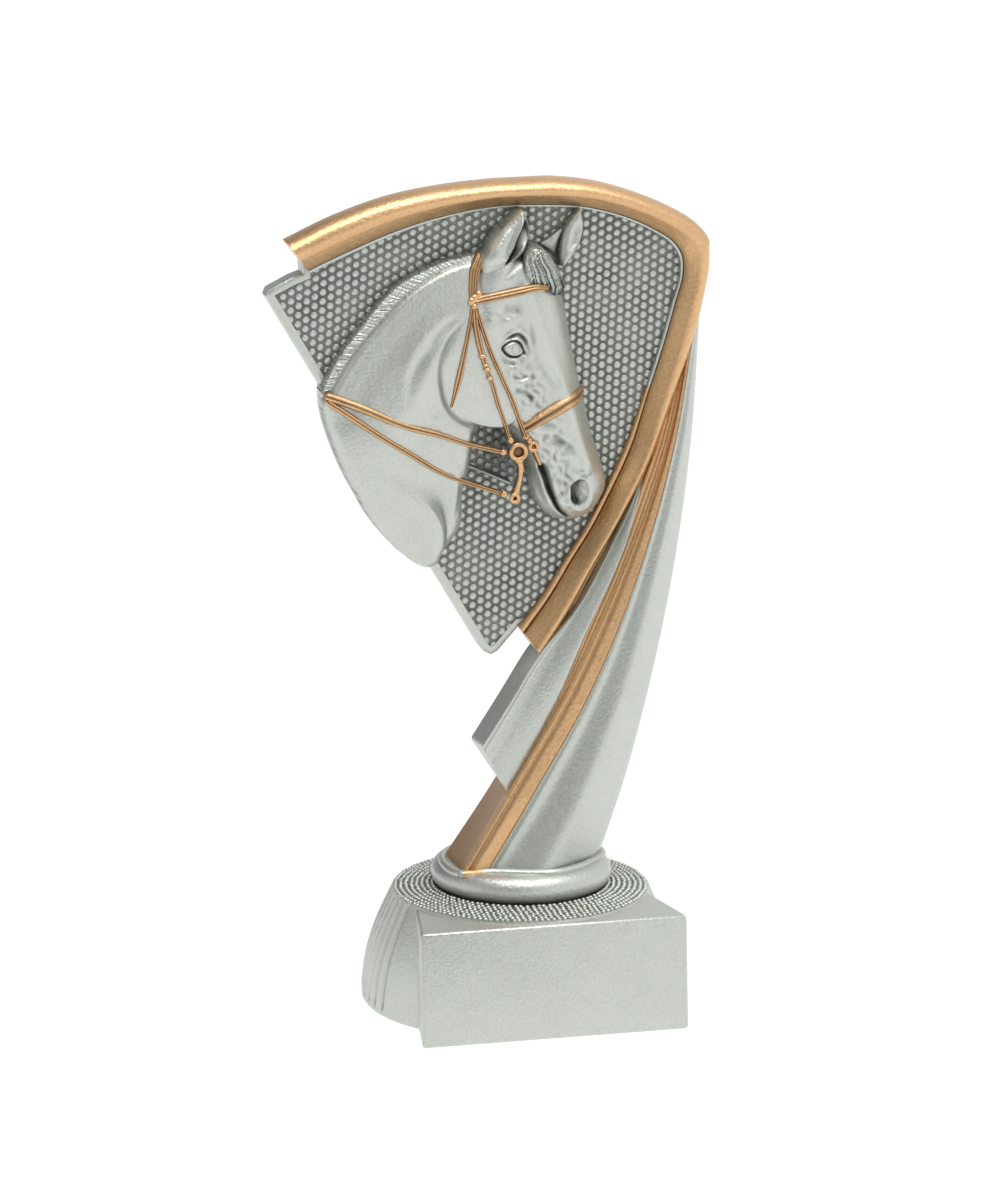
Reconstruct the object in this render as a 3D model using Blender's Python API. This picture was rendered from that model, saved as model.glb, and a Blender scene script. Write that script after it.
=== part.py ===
"""Cast horse trophy: a plinth with a plate face, a twisted column, a framed panel and a horse's head.

The trophy is cast in one piece, so all its shapes are joined into one body. Sizes are in
millimetres and are written to the mesh in metres. The front faces -Y, the origin is under the
middle of the round part of the plinth, at the height of the table.
"""
import math

import bmesh
import bpy
import numpy as np
from mathutils import Matrix

MM = 0.001

# Main sizes: height of the whole trophy, and width of the framed panel with the horse
TROPHY_HEIGHT = 180.0
FIGURE_WIDTH = 96.0

# Plinth: a block with a plate face in front of a round, pleated skirt
BLOCK_HALF_WIDTH = 29.2
BLOCK_FRONT = 33.8
BLOCK_BACK = 3.0
BLOCK_LEAN = 1.8
BLOCK_TAPER_DEG = 10.0
BLOCK_EDGE = 0.9
BLOCK_COVER = 1.4
PLINTH_HEIGHT = 24.7
SKIRT_FOOT_RADIUS = 33.6
SKIRT_TOP_RADIUS = 27.4
SKIRT_TOP_FORWARD = 2.9
SKIRT_BULGE = 1.6
PLEAT_COUNT = 56
PLEAT_DEPTH = 0.55
DISC_RISE = 0.4
DISC_CROWN = 0.9
DISC_UNDER_RING = 3.0

# Ring on the disc, and the foot of the column in it
RING_RADIUS = 19.4
RING_HEIGHT = 5.6
RING_SINK = 0.3
RING_CENTRE_X = 0.3
RING_CENTRE_Y = -2.2

# Panel, frame and relief
PANEL_FACE = 2.9
PANEL_THICKNESS = 4.0
PANEL_CHAMFER = 0.9
FRAME_CREST = 4.4
FRAME_BACK_LIP = 0.6
HORSE_BACK = 0.5
HORSE_RELIEF = 1.0
STRAP_THICKNESS = 1.3
STRAP_SEAT = 0.7
HEADPIECE_WIDTH = 2.0
BROWBAND_WIDTH = 2.1
CHEEK_STRAP_WIDTH = 1.25
NOSEBAND_WIDTH = 3.0
MOUTH_STRAP_WIDTH = 1.2
STRAP_OVERLAP = 0.1
REIN_WIDTH = 1.15
REIN_THICKNESS = 1.2
REIN_SEAT = 0.4
UPPER_REIN_SPAN = 6.4
LOWER_REIN_SPAN = 6.2
BIT_RING_RADIUS = 1.75
BIT_WIRE = 1.1
BIT_HEIGHT = 7.0
BIT_LEVER_WIDTH = 1.3
BIT_LEVER_SPAN = 6.6
FAR_REIN_WIDTH = 0.8

# Fineness of the faceted solid
RELIEF_GRID = 1.3
GRID_RELAXING = 4
SKIRT_RINGS = 3
RING_SIDES = 40
COLUMN_LEVELS = 15

# Heights worked out from the plinth upwards
DISC_EDGE_Z = PLINTH_HEIGHT + DISC_RISE
DISC_MIDDLE_Z = DISC_EDGE_Z + DISC_CROWN
RING_TOP_Z = DISC_MIDDLE_Z + RING_HEIGHT
# The lines of the figure are drawn for these sizes, and stretched to the real ones
DRAWN_RING_TOP = 31.6
DRAWN_PANEL_FOOT = 76.7
DRAWN_HEIGHT = 180.0
DRAWN_WIDTH = 96.0
PANEL_BACK_Y = PANEL_THICKNESS - PANEL_FACE
QUARTER_TURN = Matrix.Rotation(math.radians(90.0), 3, "X")

# Edge lines that run up the column: (height, x, y), clockwise from the left back
COLUMN_LINES = {
    "left_back": [(30, -16.4, 2.8), (48, -3.6, 4.0), (70, 9.2, 4.5), (95, 21.5, 5.0), (122, 31.0, 4.5),
                  (149, 37.6, 2.4)],
    "gold_ridge": [(30, -16.0, -11.6), (48, -5.0, -11.2), (70, 8.3, -11.2), (95, 20.8, -9.6),
                   (122, 31.0, -7.8), (149, 37.2, -5.0)],
    "gold_edge": [(30, -11.0, -11.4), (48, -0.4, -12.4), (70, 12.2, -12.3), (95, 23.6, -10.5),
                  (122, 32.5, -8.2), (149, 37.8, -5.2)],
    "flute": [(30, -7.0, -12.4), (48, 6.6, -11.0), (70, 16.6, -10.2), (95, 25.6, -8.8), (122, 33.4, -7.0),
              (149, 38.2, -4.7)],
    "belly": [(30, 2.6, -15.5), (48, 12.2, -13.6), (70, 21.6, -11.6), (95, 28.8, -9.4), (122, 35.0, -7.3),
              (149, 38.8, -4.5)],
    "right": [(30, 17.0, -3.0), (48, 23.2, -2.8), (70, 29.1, -2.5), (95, 34.3, -2.0), (122, 37.8, -1.8),
              (149, 39.4, -1.5)],
    "right_back": [(30, 10.0, 11.5), (48, 17.8, 9.2), (70, 25.5, 7.6), (95, 32.0, 6.3), (122, 36.6, 4.9),
                   (149, 39.1, 2.0)],
    "back": [(30, -6.0, 12.5), (48, 5.0, 10.9), (70, 17.0, 9.5), (95, 27.2, 8.2), (122, 34.3, 6.4),
             (149, 38.3, 3.0)],
}
COLUMN_FOOT = 30.0
COLUMN_TOP = 149.0
# The wing to the left of the gold rib: left edge and right edge, as x and height
WING_LEFT = [(-9.6, 58.8), (-3.4, 68.3), (2.6, 77.6), (11.2, 87.8), (19.6, 102.8), (27.0, 117.0), (31.4, 126.6)]
WING_RIGHT = [(-4.0, 48.2), (1.8, 58.2), (7.2, 67.8), (13.6, 82.5), (20.0, 96.0), (26.0, 111.6), (30.6, 125.0)]
# Front of the wing: share of the width from the crease on the left to the rib, and y
WING_FRONT = [(0.0, -8.9), (0.15, -8.35), (0.45, -9.3), (0.75, -10.0), (0.93, -10.15), (1.0, -9.8)]
WING_BACK_Y = -1.5
WING_SIDE_LEAN = 0.7
WING_ROOT = (4.0, 1.0, -1.0)

# The frame: matching points on its outer and inner edges, as x and height
FRAME_OUTER = [(-51.1, 169.2), (-40.5, 173.8), (-28.9, 177.4), (-17.5, 179.2), (-5.5, 180.0), (5.5, 180.0),
               (15.5, 178.6), (24.5, 175.8), (32.5, 172.2), (38.0, 168.7), (41.0, 164.8), (41.0, 160.0),
               (39.6, 152.0), (37.0, 142.0), (33.3, 131.0), (29.2, 121.0), (24.6, 111.6), (20.0, 103.3),
               (15.2, 95.2), (10.6, 87.0), (3.9, 76.3)]
FRAME_INNER = [(-45.6, 162.0), (-37.0, 165.6), (-27.0, 169.4), (-16.3, 172.3), (-5.2, 173.8), (4.4, 173.6),
               (13.3, 172.8), (21.6, 170.5), (28.2, 167.4), (32.6, 164.3), (34.4, 161.2), (34.5, 157.2),
               (32.9, 151.6), (30.3, 142.6), (27.0, 132.5), (23.3, 122.2), (18.6, 112.5), (14.0, 103.8),
               (9.6, 97.2), (4.9, 89.8), (-0.6, 82.8)]
# Profile of the frame: share of the width from the outer edge, height above the panel face
FRAME_PROFILE = [(0.0, 0.4), (0.03, 2.6), (0.12, 0.9 * FRAME_CREST), (0.26, FRAME_CREST), (0.42, 0.9 * FRAME_CREST),
                 (0.6, 0.62 * FRAME_CREST), (0.8, 0.4 * FRAME_CREST), (0.97, 1.3)]

# The panel outside the frame, and where its edge runs hidden under the frame
PANEL_OUTLINE = [(-47.2, 162.0), (-49.5, 161.2), (-54.4, 158.8), (-55.0, 157.4), (-8.8, 78.6), (-7.9, 77.4),
                 (-6.3, 76.7), (-4.9, 77.4), (-0.2, 82.6), (3.0, 83.2), (11.4, 95.2), (20.6, 111.4),
                 (30.2, 133.0), (36.6, 153.0), (38.0, 161.0), (34.6, 167.0), (22.0, 173.4), (5.0, 177.0),
                 (-17.0, 175.8), (-37.4, 169.6), (-47.4, 165.0)]

# Outline of the horse, as x and height
MANE_EDGE = [(-9.0, 165.3), (-13.0, 164.5), (-16.5, 163.8), (-20.5, 162.4), (-24.8, 160.4), (-28.6, 157.8),
             (-32.6, 153.6), (-36.2, 149.2), (-39.6, 144.9), (-42.2, 140.6), (-43.6, 137.4)]
NECK_BACK = [(-43.7, 135.0), (-43.1, 130.8), (-41.3, 125.0), (-38.8, 118.8), (-36.3, 114.0), (-33.5, 109.0),
             (-30.2, 104.6), (-27.0, 101.2), (-24.3, 99.1), (-21.9, 98.3), (-19.6, 98.8)]
NECK_FRONT = [(-17.6, 100.6), (-16.0, 102.2), (-14.0, 104.8), (-13.2, 107.6), (-13.3, 113.2), (-12.2, 118.7),
              (-11.4, 123.2), (-10.8, 126.6)]
CHIN = [(-8.6, 127.2), (-5.6, 126.8), (-2.6, 125.2), (-0.6, 122.0), (0.6, 119.0), (1.0, 115.6), (2.0, 111.8),
        (3.8, 108.8), (6.2, 107.0), (9.1, 106.4), (12.0, 106.6), (14.2, 107.6), (16.2, 109.6), (17.8, 112.0)]
FACE = [(18.3, 114.2), (17.3, 118.2), (15.4, 124.0), (14.3, 128.0), (13.6, 131.6), (12.8, 134.6),
        (11.5, 140.2), (10.5, 145.4), (9.4, 151.3), (8.3, 156.7), (7.4, 160.2)]
FAR_EAR_EDGE = [(9.4, 162.0), (11.0, 164.0), (12.3, 166.4), (13.1, 169.2), (12.9, 171.6), (12.3, 173.2),
                (10.4, 171.4), (8.9, 169.4), (7.0, 168.0), (5.0, 166.6)]
NEAR_EAR_EDGE = [(3.0, 166.0), (1.2, 166.6), (0.8, 169.4), (0.2, 172.2), (-0.9, 174.2), (-3.0, 172.5),
                 (-4.9, 170.7), (-6.6, 169.2), (-8.0, 167.6)]
# Lines inside the horse's outline
CREST = [(-9.8, 163.6), (-14.8, 162.9), (-20.4, 160.5), (-26.0, 156.7), (-32.8, 149.8), (-37.1, 144.9),
         (-41.2, 138.3), (-42.6, 135.8)]
NECK_MUSCLE = [(-12.0, 153.0), (-17.0, 147.5), (-22.0, 141.0), (-26.5, 134.0), (-28.0, 126.0), (-27.0, 120.0)]
SHOULDER = [(-29.5, 120.5), (-27.3, 118.8), (-25.6, 116.9), (-23.6, 115.2), (-21.3, 113.0), (-19.6, 110.2),
            (-18.6, 107.0), (-18.4, 104.0), (-18.7, 101.4), (-19.6, 98.8)]
JAW = [(-12.6, 153.6), (-15.2, 150.7), (-17.4, 147.8), (-18.8, 145.0), (-19.4, 142.0), (-19.3, 138.8),
       (-18.6, 135.2), (-17.3, 132.2), (-15.0, 129.9), (-11.6, 128.2), (-8.4, 127.4), (-5.4, 127.0)]
POLL = [(6.4, 163.6), (3.0, 165.6), (-1.5, 165.4), (-6.5, 165.0), (-10.2, 162.8), (-12.0, 158.0)]
NOSE_RIDGE = [(-0.6, 157.6), (3.3, 145.5), (7.7, 135.0), (11.4, 123.4), (12.9, 118.8)]
FACIAL_CREST = [(-7.2, 141.0), (-4.6, 139.8), (-2.3, 137.9), (0.0, 135.2), (1.8, 132.6)]
MOUTH = [(2.3, 120.2), (3.2, 117.1), (5.1, 111.8), (6.5, 110.0), (9.0, 107.5)]
NOSTRIL_CENTRE = (11.2, 113.2)
EYE_CENTRE = (-3.9, 145.3)
NEAR_EAR = [(-1.0, 174.2), (-3.0, 172.5), (-6.6, 169.2), (-9.4, 165.6), (-10.2, 161.4), (-8.6, 160.2),
            (-6.4, 160.7), (-3.2, 163.0), (-0.3, 166.2), (0.7, 170.6), (0.0, 172.8)]
EAR_HOLLOW = [(-0.7, 172.9), (-3.6, 167.6), (-5.6, 163.2), (-4.8, 162.9), (-1.5, 165.6), (-0.2, 170.2)]
FAR_EAR = [(12.3, 173.2), (9.1, 169.4), (7.6, 163.4), (8.0, 161.2), (10.8, 163.6), (13.0, 168.8),
           (12.9, 171.4)]
FORELOCK = [(-0.4, 165.0), (1.0, 166.2), (3.0, 165.4), (4.9, 162.6), (6.6, 159.4), (7.6, 156.6), (5.6, 156.0),
            (3.6, 157.6), (1.0, 158.6), (-0.6, 160.4)]

# Strokes beside a line: the line, the distance from it, the width, and the rise, or the cut below zero
NECK_STROKES = [(CREST, 5.5, 4.0, -1.0), (NECK_MUSCLE, 0.0, 4.2, 0.9), (CREST, 0.4, 0.8, 0.7)]
HEAD_STROKES = [(NOSE_RIDGE, 0.0, 2.2, 0.7), (FACIAL_CREST, 0.0, 1.1, 0.8)]
LIP_STROKES = [(MOUTH, 1.4, 0.8, 0.5), (MOUTH, 0.0, 0.6, -1.2)]
JAW_CREASE_WIDTH = 0.6
JAW_CREASE_DEPTH = 0.8
# Heights over the panel face: where a form starts at its edge, and how wide and high it rounds up
NECK_WALL = 4.4
NECK_ROUNDINGS = [(2.0, 1.6), (11.0, 1.2)]
NECK_FRONT_RIM = 3.0
NECK_FRONT_DROP = 1.8
SHOULDER_STEP = 2.6
SHOULDER_REACH = 6.0
SHOULDER_ROLL = 0.8
MANE_ROOT = 6.4
MANE_FALL = 5.2
MANE_WIDTH = 4.2
HEAD_WALL = 2.2
HEAD_ROUNDING = (5.5, 5.6)
FACE_RIM = 7.0
FACE_DROP = 1.4
CHEEK_CENTRE = (-9.0, 140.0)
CHEEK_REACH = (10.5, 13.0)
CHEEK_EDGE = 6.6
CHEEK_SWELL = 2.0
EYE_SIZE = (4.6, 3.6)
EYE_SOCKET = 0.9
EYE_BALL = 1.1
NOSTRIL_RADIUS = 1.6
NOSTRIL_RIM = 3.0
NOSTRIL_DEPTH = 1.8
NEAR_EAR_WALL = 3.8
NEAR_EAR_ROUNDING = (2.2, 3.2)
EAR_HOLLOW_ROUNDING = (0.9, 2.0)
FAR_EAR_WALL = 1.6
FAR_EAR_ROUNDING = (1.8, 2.0)
EAR_ROOT_TOP = 170.0
EAR_ROOT_LENGTH = 9.0
EAR_ROOT_RISE = 1.3
FORELOCK_WALL = 5.6
FORELOCK_ROUNDING = (1.6, 1.5)
RIM_WALL = 0.9
RIM_ROUNDING = (1.2, 0.6)

# Bridle lines, as x and height
HEADPIECE = [(-10.8, 165.9), (-11.6, 162.4), (-12.1, 158.4), (-12.4, 155.4)]
BROWBAND = [(-12.8, 155.6), (-10.7, 156.2), (-4.7, 157.4), (0.0, 158.2), (3.6, 158.2)]
THROATLASH = [(-12.4, 155.2), (-13.4, 151.1), (-14.7, 146.4), (-16.0, 140.4), (-17.0, 133.5)]
CHEEK_STRAP = [(-12.5, 155.0), (-11.3, 148.2), (-9.0, 139.5), (-6.6, 132.0), (-4.2, 125.6)]
INNER_STRAP = [(-12.1, 154.6), (-9.6, 147.6), (-6.4, 139.8), (-3.5, 132.4), (-0.6, 126.0)]
NOSEBAND = [(-1.6, 127.9), (1.9, 129.6), (5.2, 131.1), (8.6, 132.4), (11.4, 133.5), (13.2, 134.2)]
BIT_CENTRE = (-2.8, 123.2)
BIT_LEVER = [(-2.4, 122.0), (-2.5, 118.6), (-2.8, 115.6), (-3.2, 111.8)]
MOUTH_STRAP = [(-0.4, 126.0), (0.8, 123.2), (2.0, 120.4)]
UPPER_REIN = [(-43.2, 136.4), (-38.6, 134.6), (-33.4, 132.6), (-25.2, 129.0), (-17.1, 126.4), (-11.0, 124.3),
              (-4.4, 122.6)]
LOWER_REIN = [(-43.2, 135.2), (-39.6, 132.4), (-36.0, 130.2), (-30.6, 126.6), (-25.3, 123.6), (-17.1, 119.2),
              (-11.0, 116.2), (-3.4, 113.0)]
FAR_REIN = [(-12.0, 119.2), (-2.6, 114.4)]


# Curves and distances on the panel plane
def smooth_path(points, closed=False, pieces=4):
    """Centripetal Catmull-Rom curve through the points, each a row of two or three values."""
    rows = np.asarray(points, float)
    if closed:
        rows = np.vstack([rows[-1], rows, rows[0], rows[1]])
    else:
        rows = np.vstack([2 * rows[0] - rows[1], rows, 2 * rows[-1] - rows[-2]])
    curve = []
    for a, b, c, d in zip(rows[:-3], rows[1:-2], rows[2:-1], rows[3:]):
        t1 = np.linalg.norm(b - a) ** 0.5
        t2 = t1 + np.linalg.norm(c - b) ** 0.5
        t3 = t2 + np.linalg.norm(d - c) ** 0.5
        for t in np.linspace(t1, t2, pieces, endpoint=False):
            a1 = (t1 - t) / t1 * a + t / t1 * b
            a2 = (t2 - t) / (t2 - t1) * b + (t - t1) / (t2 - t1) * c
            a3 = (t3 - t) / (t3 - t2) * c + (t - t2) / (t3 - t2) * d
            b1 = (t2 - t) / t2 * a1 + t / t2 * a2
            b2 = (t3 - t) / (t3 - t1) * a2 + (t - t1) / (t3 - t1) * a3
            curve.append((t2 - t) / (t2 - t1) * b1 + (t - t1) / (t2 - t1) * b2)
    if not closed:
        curve.append(rows[-2])
    return np.array(curve)


def read_path(x, z, path):
    """Distance to a path, the share of its length there, and the side: 1 on the right of travel."""
    distance = np.full(x.shape, 1e3)
    share = np.zeros(x.shape)
    side = np.zeros(x.shape)
    lengths = np.linalg.norm(np.diff(path, axis=0), axis=1)
    run = 0.0
    for start, end, length in zip(path[:-1], path[1:], lengths):
        if length > 1e-9:
            ux, uz = (end - start) / length
            px = x - start[0]
            pz = z - start[1]
            t = np.clip(px * ux + pz * uz, 0.0, length)
            gap = np.hypot(px - t * ux, pz - t * uz)
            nearer = gap < distance
            distance = np.where(nearer, gap, distance)
            share = np.where(nearer, (run + t) / lengths.sum(), share)
            side = np.where(nearer, np.sign(px * uz - pz * ux), side)
        run += length
    return distance, share, side


def distance_to(x, z, points):
    distance, share, side = read_path(x, z, smooth_path(points))
    return distance


def depth_inside(x, z, points):
    """Distance inside a closed outline, negative outside it."""
    loop = smooth_path(points, closed=True)
    ring = np.vstack([loop, loop[:1]])
    distance, share, side = read_path(x, z, ring)
    within = np.zeros(x.shape, bool)
    for (ax, az), (bx, bz) in zip(ring[:-1], ring[1:]):
        if az != bz:
            crosses = (az > z) != (bz > z)
            within ^= crosses & (x < ax + (z - az) * (bx - ax) / (bz - az))
    return np.where(within, distance, -distance)


def dome(depth, rim, height):
    """Quarter-round edge that rises over the width of the rim to a flat top."""
    share = np.clip(depth / rim, 0.0, 1.0)
    return height * np.sqrt(1.0 - (1.0 - share) ** 2)


def ramp(value, low, high):
    share = np.clip((value - low) / (high - low), 0.0, 1.0)
    return share * share * (3.0 - 2.0 * share)


def bell(distance, width):
    return np.exp(-(distance / width) ** 2)


def blend_max(one, other, soft):
    """The higher of two surfaces, with the crease between them rounded."""
    share = np.clip(0.5 + 0.5 * (one - other) / soft, 0.0, 1.0)
    return other * (1.0 - share) + one * share + soft * share * (1.0 - share)


# The horse as a height above the panel face
HORSE_OUTLINE = MANE_EDGE + NECK_BACK + NECK_FRONT + CHIN + FACE + FAR_EAR_EDGE + NEAR_EAR_EDGE
NECK_LOOP = CREST + NECK_BACK + NECK_FRONT + [(-8.0, 130.0), (-4.0, 150.0), (-6.0, 163.0)]
HEAD_LOOP = JAW + CHIN[2:] + FACE + POLL


def add_strokes(height, x, z, strokes):
    """Raise or cut a surface along lines."""
    for line, away, width, rise in strokes:
        height = height + rise * bell(distance_to(x, z, line) - away, width)
    return height


def neck_height(x, z):
    """Neck and shoulder: a straight wall behind, a raised crest, hollows and a muscle between."""
    slab = depth_inside(x, z, NECK_LOOP)
    height = NECK_WALL + sum(dome(slab, *rounding) for rounding in NECK_ROUNDINGS)
    height = add_strokes(height, x, z, NECK_STROKES)
    off_shoulder, share, side = read_path(x, z, smooth_path(SHOULDER))
    beyond = off_shoulder * side
    fall = ramp(share, 0.05, 0.55)
    behind = ramp(-beyond, -0.5, 0.9) * bell(np.maximum(off_shoulder - SHOULDER_REACH / 2.0, 0.0), SHOULDER_REACH)
    height = height - SHOULDER_STEP * fall * behind
    height = height + SHOULDER_ROLL * fall * bell(beyond - 1.6, 1.8)
    front = np.clip(distance_to(x, z, NECK_FRONT) / NECK_FRONT_RIM, 0.0, 1.0)
    height = np.where(slab > 0, height - NECK_FRONT_DROP * (1.0 - front) ** 2, 0.0)
    off_crest, crest_share, crest_side = read_path(x, z, smooth_path(CREST))
    mane = MANE_ROOT - MANE_FALL * np.clip(off_crest / MANE_WIDTH, 0.0, 1.0) ** 0.8
    on_mane = (slab <= 0) & (off_crest < 1.3 * MANE_WIDTH) & (crest_side > 0)
    return np.where(on_mane, mane, height)


def head_height(x, z):
    """Skull, cheek, eye, nose, nostril and lips."""
    inner = depth_inside(x, z, HEAD_LOOP)
    height = HEAD_WALL + dome(inner, *HEAD_ROUNDING)
    height = height - FACE_DROP * (1.0 - np.clip(distance_to(x, z, FACE) / FACE_RIM, 0.0, 1.0)) ** 1.3
    height = add_strokes(height, x, z, HEAD_STROKES)
    cheek_reach = np.hypot((x - CHEEK_CENTRE[0]) / CHEEK_REACH[0], (z - CHEEK_CENTRE[1]) / CHEEK_REACH[1])
    cheek = CHEEK_EDGE + CHEEK_SWELL * np.sqrt(np.clip(1.0 - cheek_reach ** 2, 0.0, 1.0))
    height = blend_max(height, np.where(cheek_reach < 1.0, cheek * ramp(inner, -0.2, 1.0), 0.0), 1.0)
    eye_reach = np.hypot((x - EYE_CENTRE[0]) / EYE_SIZE[0], (z - EYE_CENTRE[1]) / EYE_SIZE[1])
    height = height - EYE_SOCKET * bell(eye_reach, 0.9) + EYE_BALL * bell(eye_reach, 0.42)
    nostril_reach = np.hypot(x - NOSTRIL_CENTRE[0], (z - NOSTRIL_CENTRE[1]) / 1.25)
    height = height + 0.7 * bell(nostril_reach - NOSTRIL_RIM, 0.9)
    height = height - NOSTRIL_DEPTH * bell(nostril_reach, NOSTRIL_RADIUS)
    height = add_strokes(height, x, z, LIP_STROKES)
    return np.where(inner > 0, height, 0.0)


def horse_height(x, z):
    """Height of the whole horse above the panel face."""
    outline = depth_inside(x, z, HORSE_OUTLINE)
    near_ear = depth_inside(x, z, NEAR_EAR)
    far_ear = depth_inside(x, z, FAR_EAR)
    lock = depth_inside(x, z, FORELOCK)
    root = EAR_ROOT_RISE * ramp(EAR_ROOT_TOP - z, 0.0, EAR_ROOT_LENGTH)
    near_top = NEAR_EAR_WALL + root + dome(near_ear, *NEAR_EAR_ROUNDING)
    near_top = near_top - dome(depth_inside(x, z, EAR_HOLLOW), *EAR_HOLLOW_ROUNDING)
    far_top = np.where(far_ear > 0, FAR_EAR_WALL + root + dome(far_ear, *FAR_EAR_ROUNDING), 0.0)
    hair_top = np.where(lock > 0, FORELOCK_WALL + dome(lock, *FORELOCK_ROUNDING) - 0.12 * (x - FORELOCK[2][0]), 0.0)
    height = blend_max(neck_height(x, z), head_height(x, z), 0.4)
    height = blend_max(blend_max(height, far_top, 0.3), hair_top, 0.3)
    height = np.where(near_ear > 0, np.maximum(near_top, np.minimum(height, near_top + 0.2)), height)
    off_jaw, jaw_share, side = read_path(x, z, smooth_path(JAW))
    height = height - JAW_CREASE_DEPTH * bell(off_jaw, JAW_CREASE_WIDTH) * ramp(jaw_share, 0.02, 0.15)
    lowest = RIM_WALL + dome(outline, *RIM_ROUNDING)
    return HORSE_RELIEF * np.maximum(height, lowest)


def place(points):
    """Stretch drawn points of the figure, rows of x, y and height, to the real height and width.

    The foot keeps to the ring; the width grows from there to the foot of the panel.
    """
    placed = np.array(points, float)
    height = placed[..., 2] - DRAWN_RING_TOP
    grown = np.clip(height / (DRAWN_PANEL_FOOT - DRAWN_RING_TOP), 0.0, 1.0)
    placed[..., 0] *= 1.0 + (FIGURE_WIDTH / DRAWN_WIDTH - 1.0) * grown
    placed[..., 2] = RING_TOP_Z + height * (TROPHY_HEIGHT - RING_TOP_Z) / (DRAWN_HEIGHT - DRAWN_RING_TOP)
    return placed


# Meshes
def finish_mesh(name, bm):
    """Write a mesh in metres with its faces pointing out, and keep it as a joining shape."""
    bmesh.ops.remove_doubles(bm, verts=bm.verts, dist=1e-5)
    bmesh.ops.recalc_face_normals(bm, faces=bm.faces)
    bmesh.ops.scale(bm, verts=bm.verts, vec=(MM, MM, MM))
    mesh = bpy.data.meshes.new(name)
    bm.to_mesh(mesh)
    bm.free()
    shape = bpy.data.objects.new(name, mesh)
    bpy.context.scene.collection.objects.link(shape)
    return shape


def tube_mesh(name, sections):
    """Closed body through rings of points, made from a grid whose two long sides are welded."""
    rings = np.asarray(sections, float)
    count, around = rings.shape[0], rings.shape[1]
    bm = bmesh.new()
    bmesh.ops.create_grid(bm, x_segments=around, y_segments=count - 1, size=1.0)
    bm.verts.ensure_lookup_table()
    for row in range(count):
        for column in range(around + 1):
            bm.verts[row * (around + 1) + column].co = rings[row][column % around]
    bmesh.ops.remove_doubles(bm, verts=bm.verts, dist=1e-5)
    rims = [edge for edge in bm.edges if edge.is_boundary]
    bmesh.ops.holes_fill(bm, edges=rims, sides=0)
    return finish_mesh(name, bm)


def circle(radius, centre_x, centre_y, height, count):
    angles = np.arange(count) * math.tau / count
    return np.column_stack([centre_x + radius * np.cos(angles), centre_y + radius * np.sin(angles),
                            np.full(count, height)])


def make_block():
    """Trapezoid block whose plate face leans back a little."""
    narrowing = math.tan(math.radians(BLOCK_TAPER_DEG)) * (BLOCK_FRONT - BLOCK_BACK)
    back_half = BLOCK_HALF_WIDTH - narrowing
    bm = bmesh.new()
    corners = []
    for height, lean in ((0.0, 0.0), (PLINTH_HEIGHT, BLOCK_LEAN)):
        for x, y in ((-BLOCK_HALF_WIDTH, -BLOCK_FRONT + lean), (BLOCK_HALF_WIDTH, -BLOCK_FRONT + lean),
                     (back_half, -BLOCK_BACK), (-back_half, -BLOCK_BACK)):
            corners.append(bm.verts.new((x, y, height)))
    bmesh.ops.convex_hull(bm, input=corners)
    bmesh.ops.dissolve_limit(bm, angle_limit=0.01, verts=bm.verts, edges=bm.edges)
    edges = [edge for edge in bm.edges if min(vert.co.y for vert in edge.verts) < -BLOCK_BACK - 1.0]
    bmesh.ops.bevel(bm, geom=edges, offset=BLOCK_EDGE, segments=2, profile=0.5, affect="EDGES")
    return finish_mesh("block_shape", bm)


def make_skirt():
    """Bell-shaped skirt with upright pleats, under the slightly domed disc."""
    count = 2 * PLEAT_COUNT
    valley = np.where(np.arange(count) % 2 == 0, 0.0, 1.0)
    rings = []
    for level in range(SKIRT_RINGS + 1):
        share = level / SKIRT_RINGS
        radius = SKIRT_FOOT_RADIUS + (SKIRT_TOP_RADIUS - SKIRT_FOOT_RADIUS) * share
        radius += SKIRT_BULGE * math.sin(math.pi * share)
        centre_y = -SKIRT_TOP_FORWARD * share
        ring = circle(1.0, 0.0, 0.0, 0.0, count)
        pleat = PLEAT_DEPTH * (1.0 - 0.75 * share)
        ring[:, :2] *= (radius - pleat * valley)[:, None]
        ring[:, 1] = np.maximum(ring[:, 1] + centre_y, BLOCK_LEAN + BLOCK_COVER - BLOCK_FRONT)
        ring[:, 2] = DISC_EDGE_Z * share
        rings.append(ring)
    rings.append(circle(RING_RADIUS - DISC_UNDER_RING, 0.0, -SKIRT_TOP_FORWARD, DISC_MIDDLE_Z, count))
    return tube_mesh("skirt_shape", rings)


def make_ring():
    """Rounded ring that carries the column."""
    profile = []
    half = RING_HEIGHT / 2.0 + RING_SINK
    for step in range(7):
        angle = math.radians(-90.0 + 30.0 * step)
        profile.append((RING_RADIUS - half + half * math.cos(angle), RING_TOP_Z - half + half * math.sin(angle)))
    rings = [circle(radius, RING_CENTRE_X, RING_CENTRE_Y, height, RING_SIDES) for radius, height in profile]
    return tube_mesh("ring_shape", rings)


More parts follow.
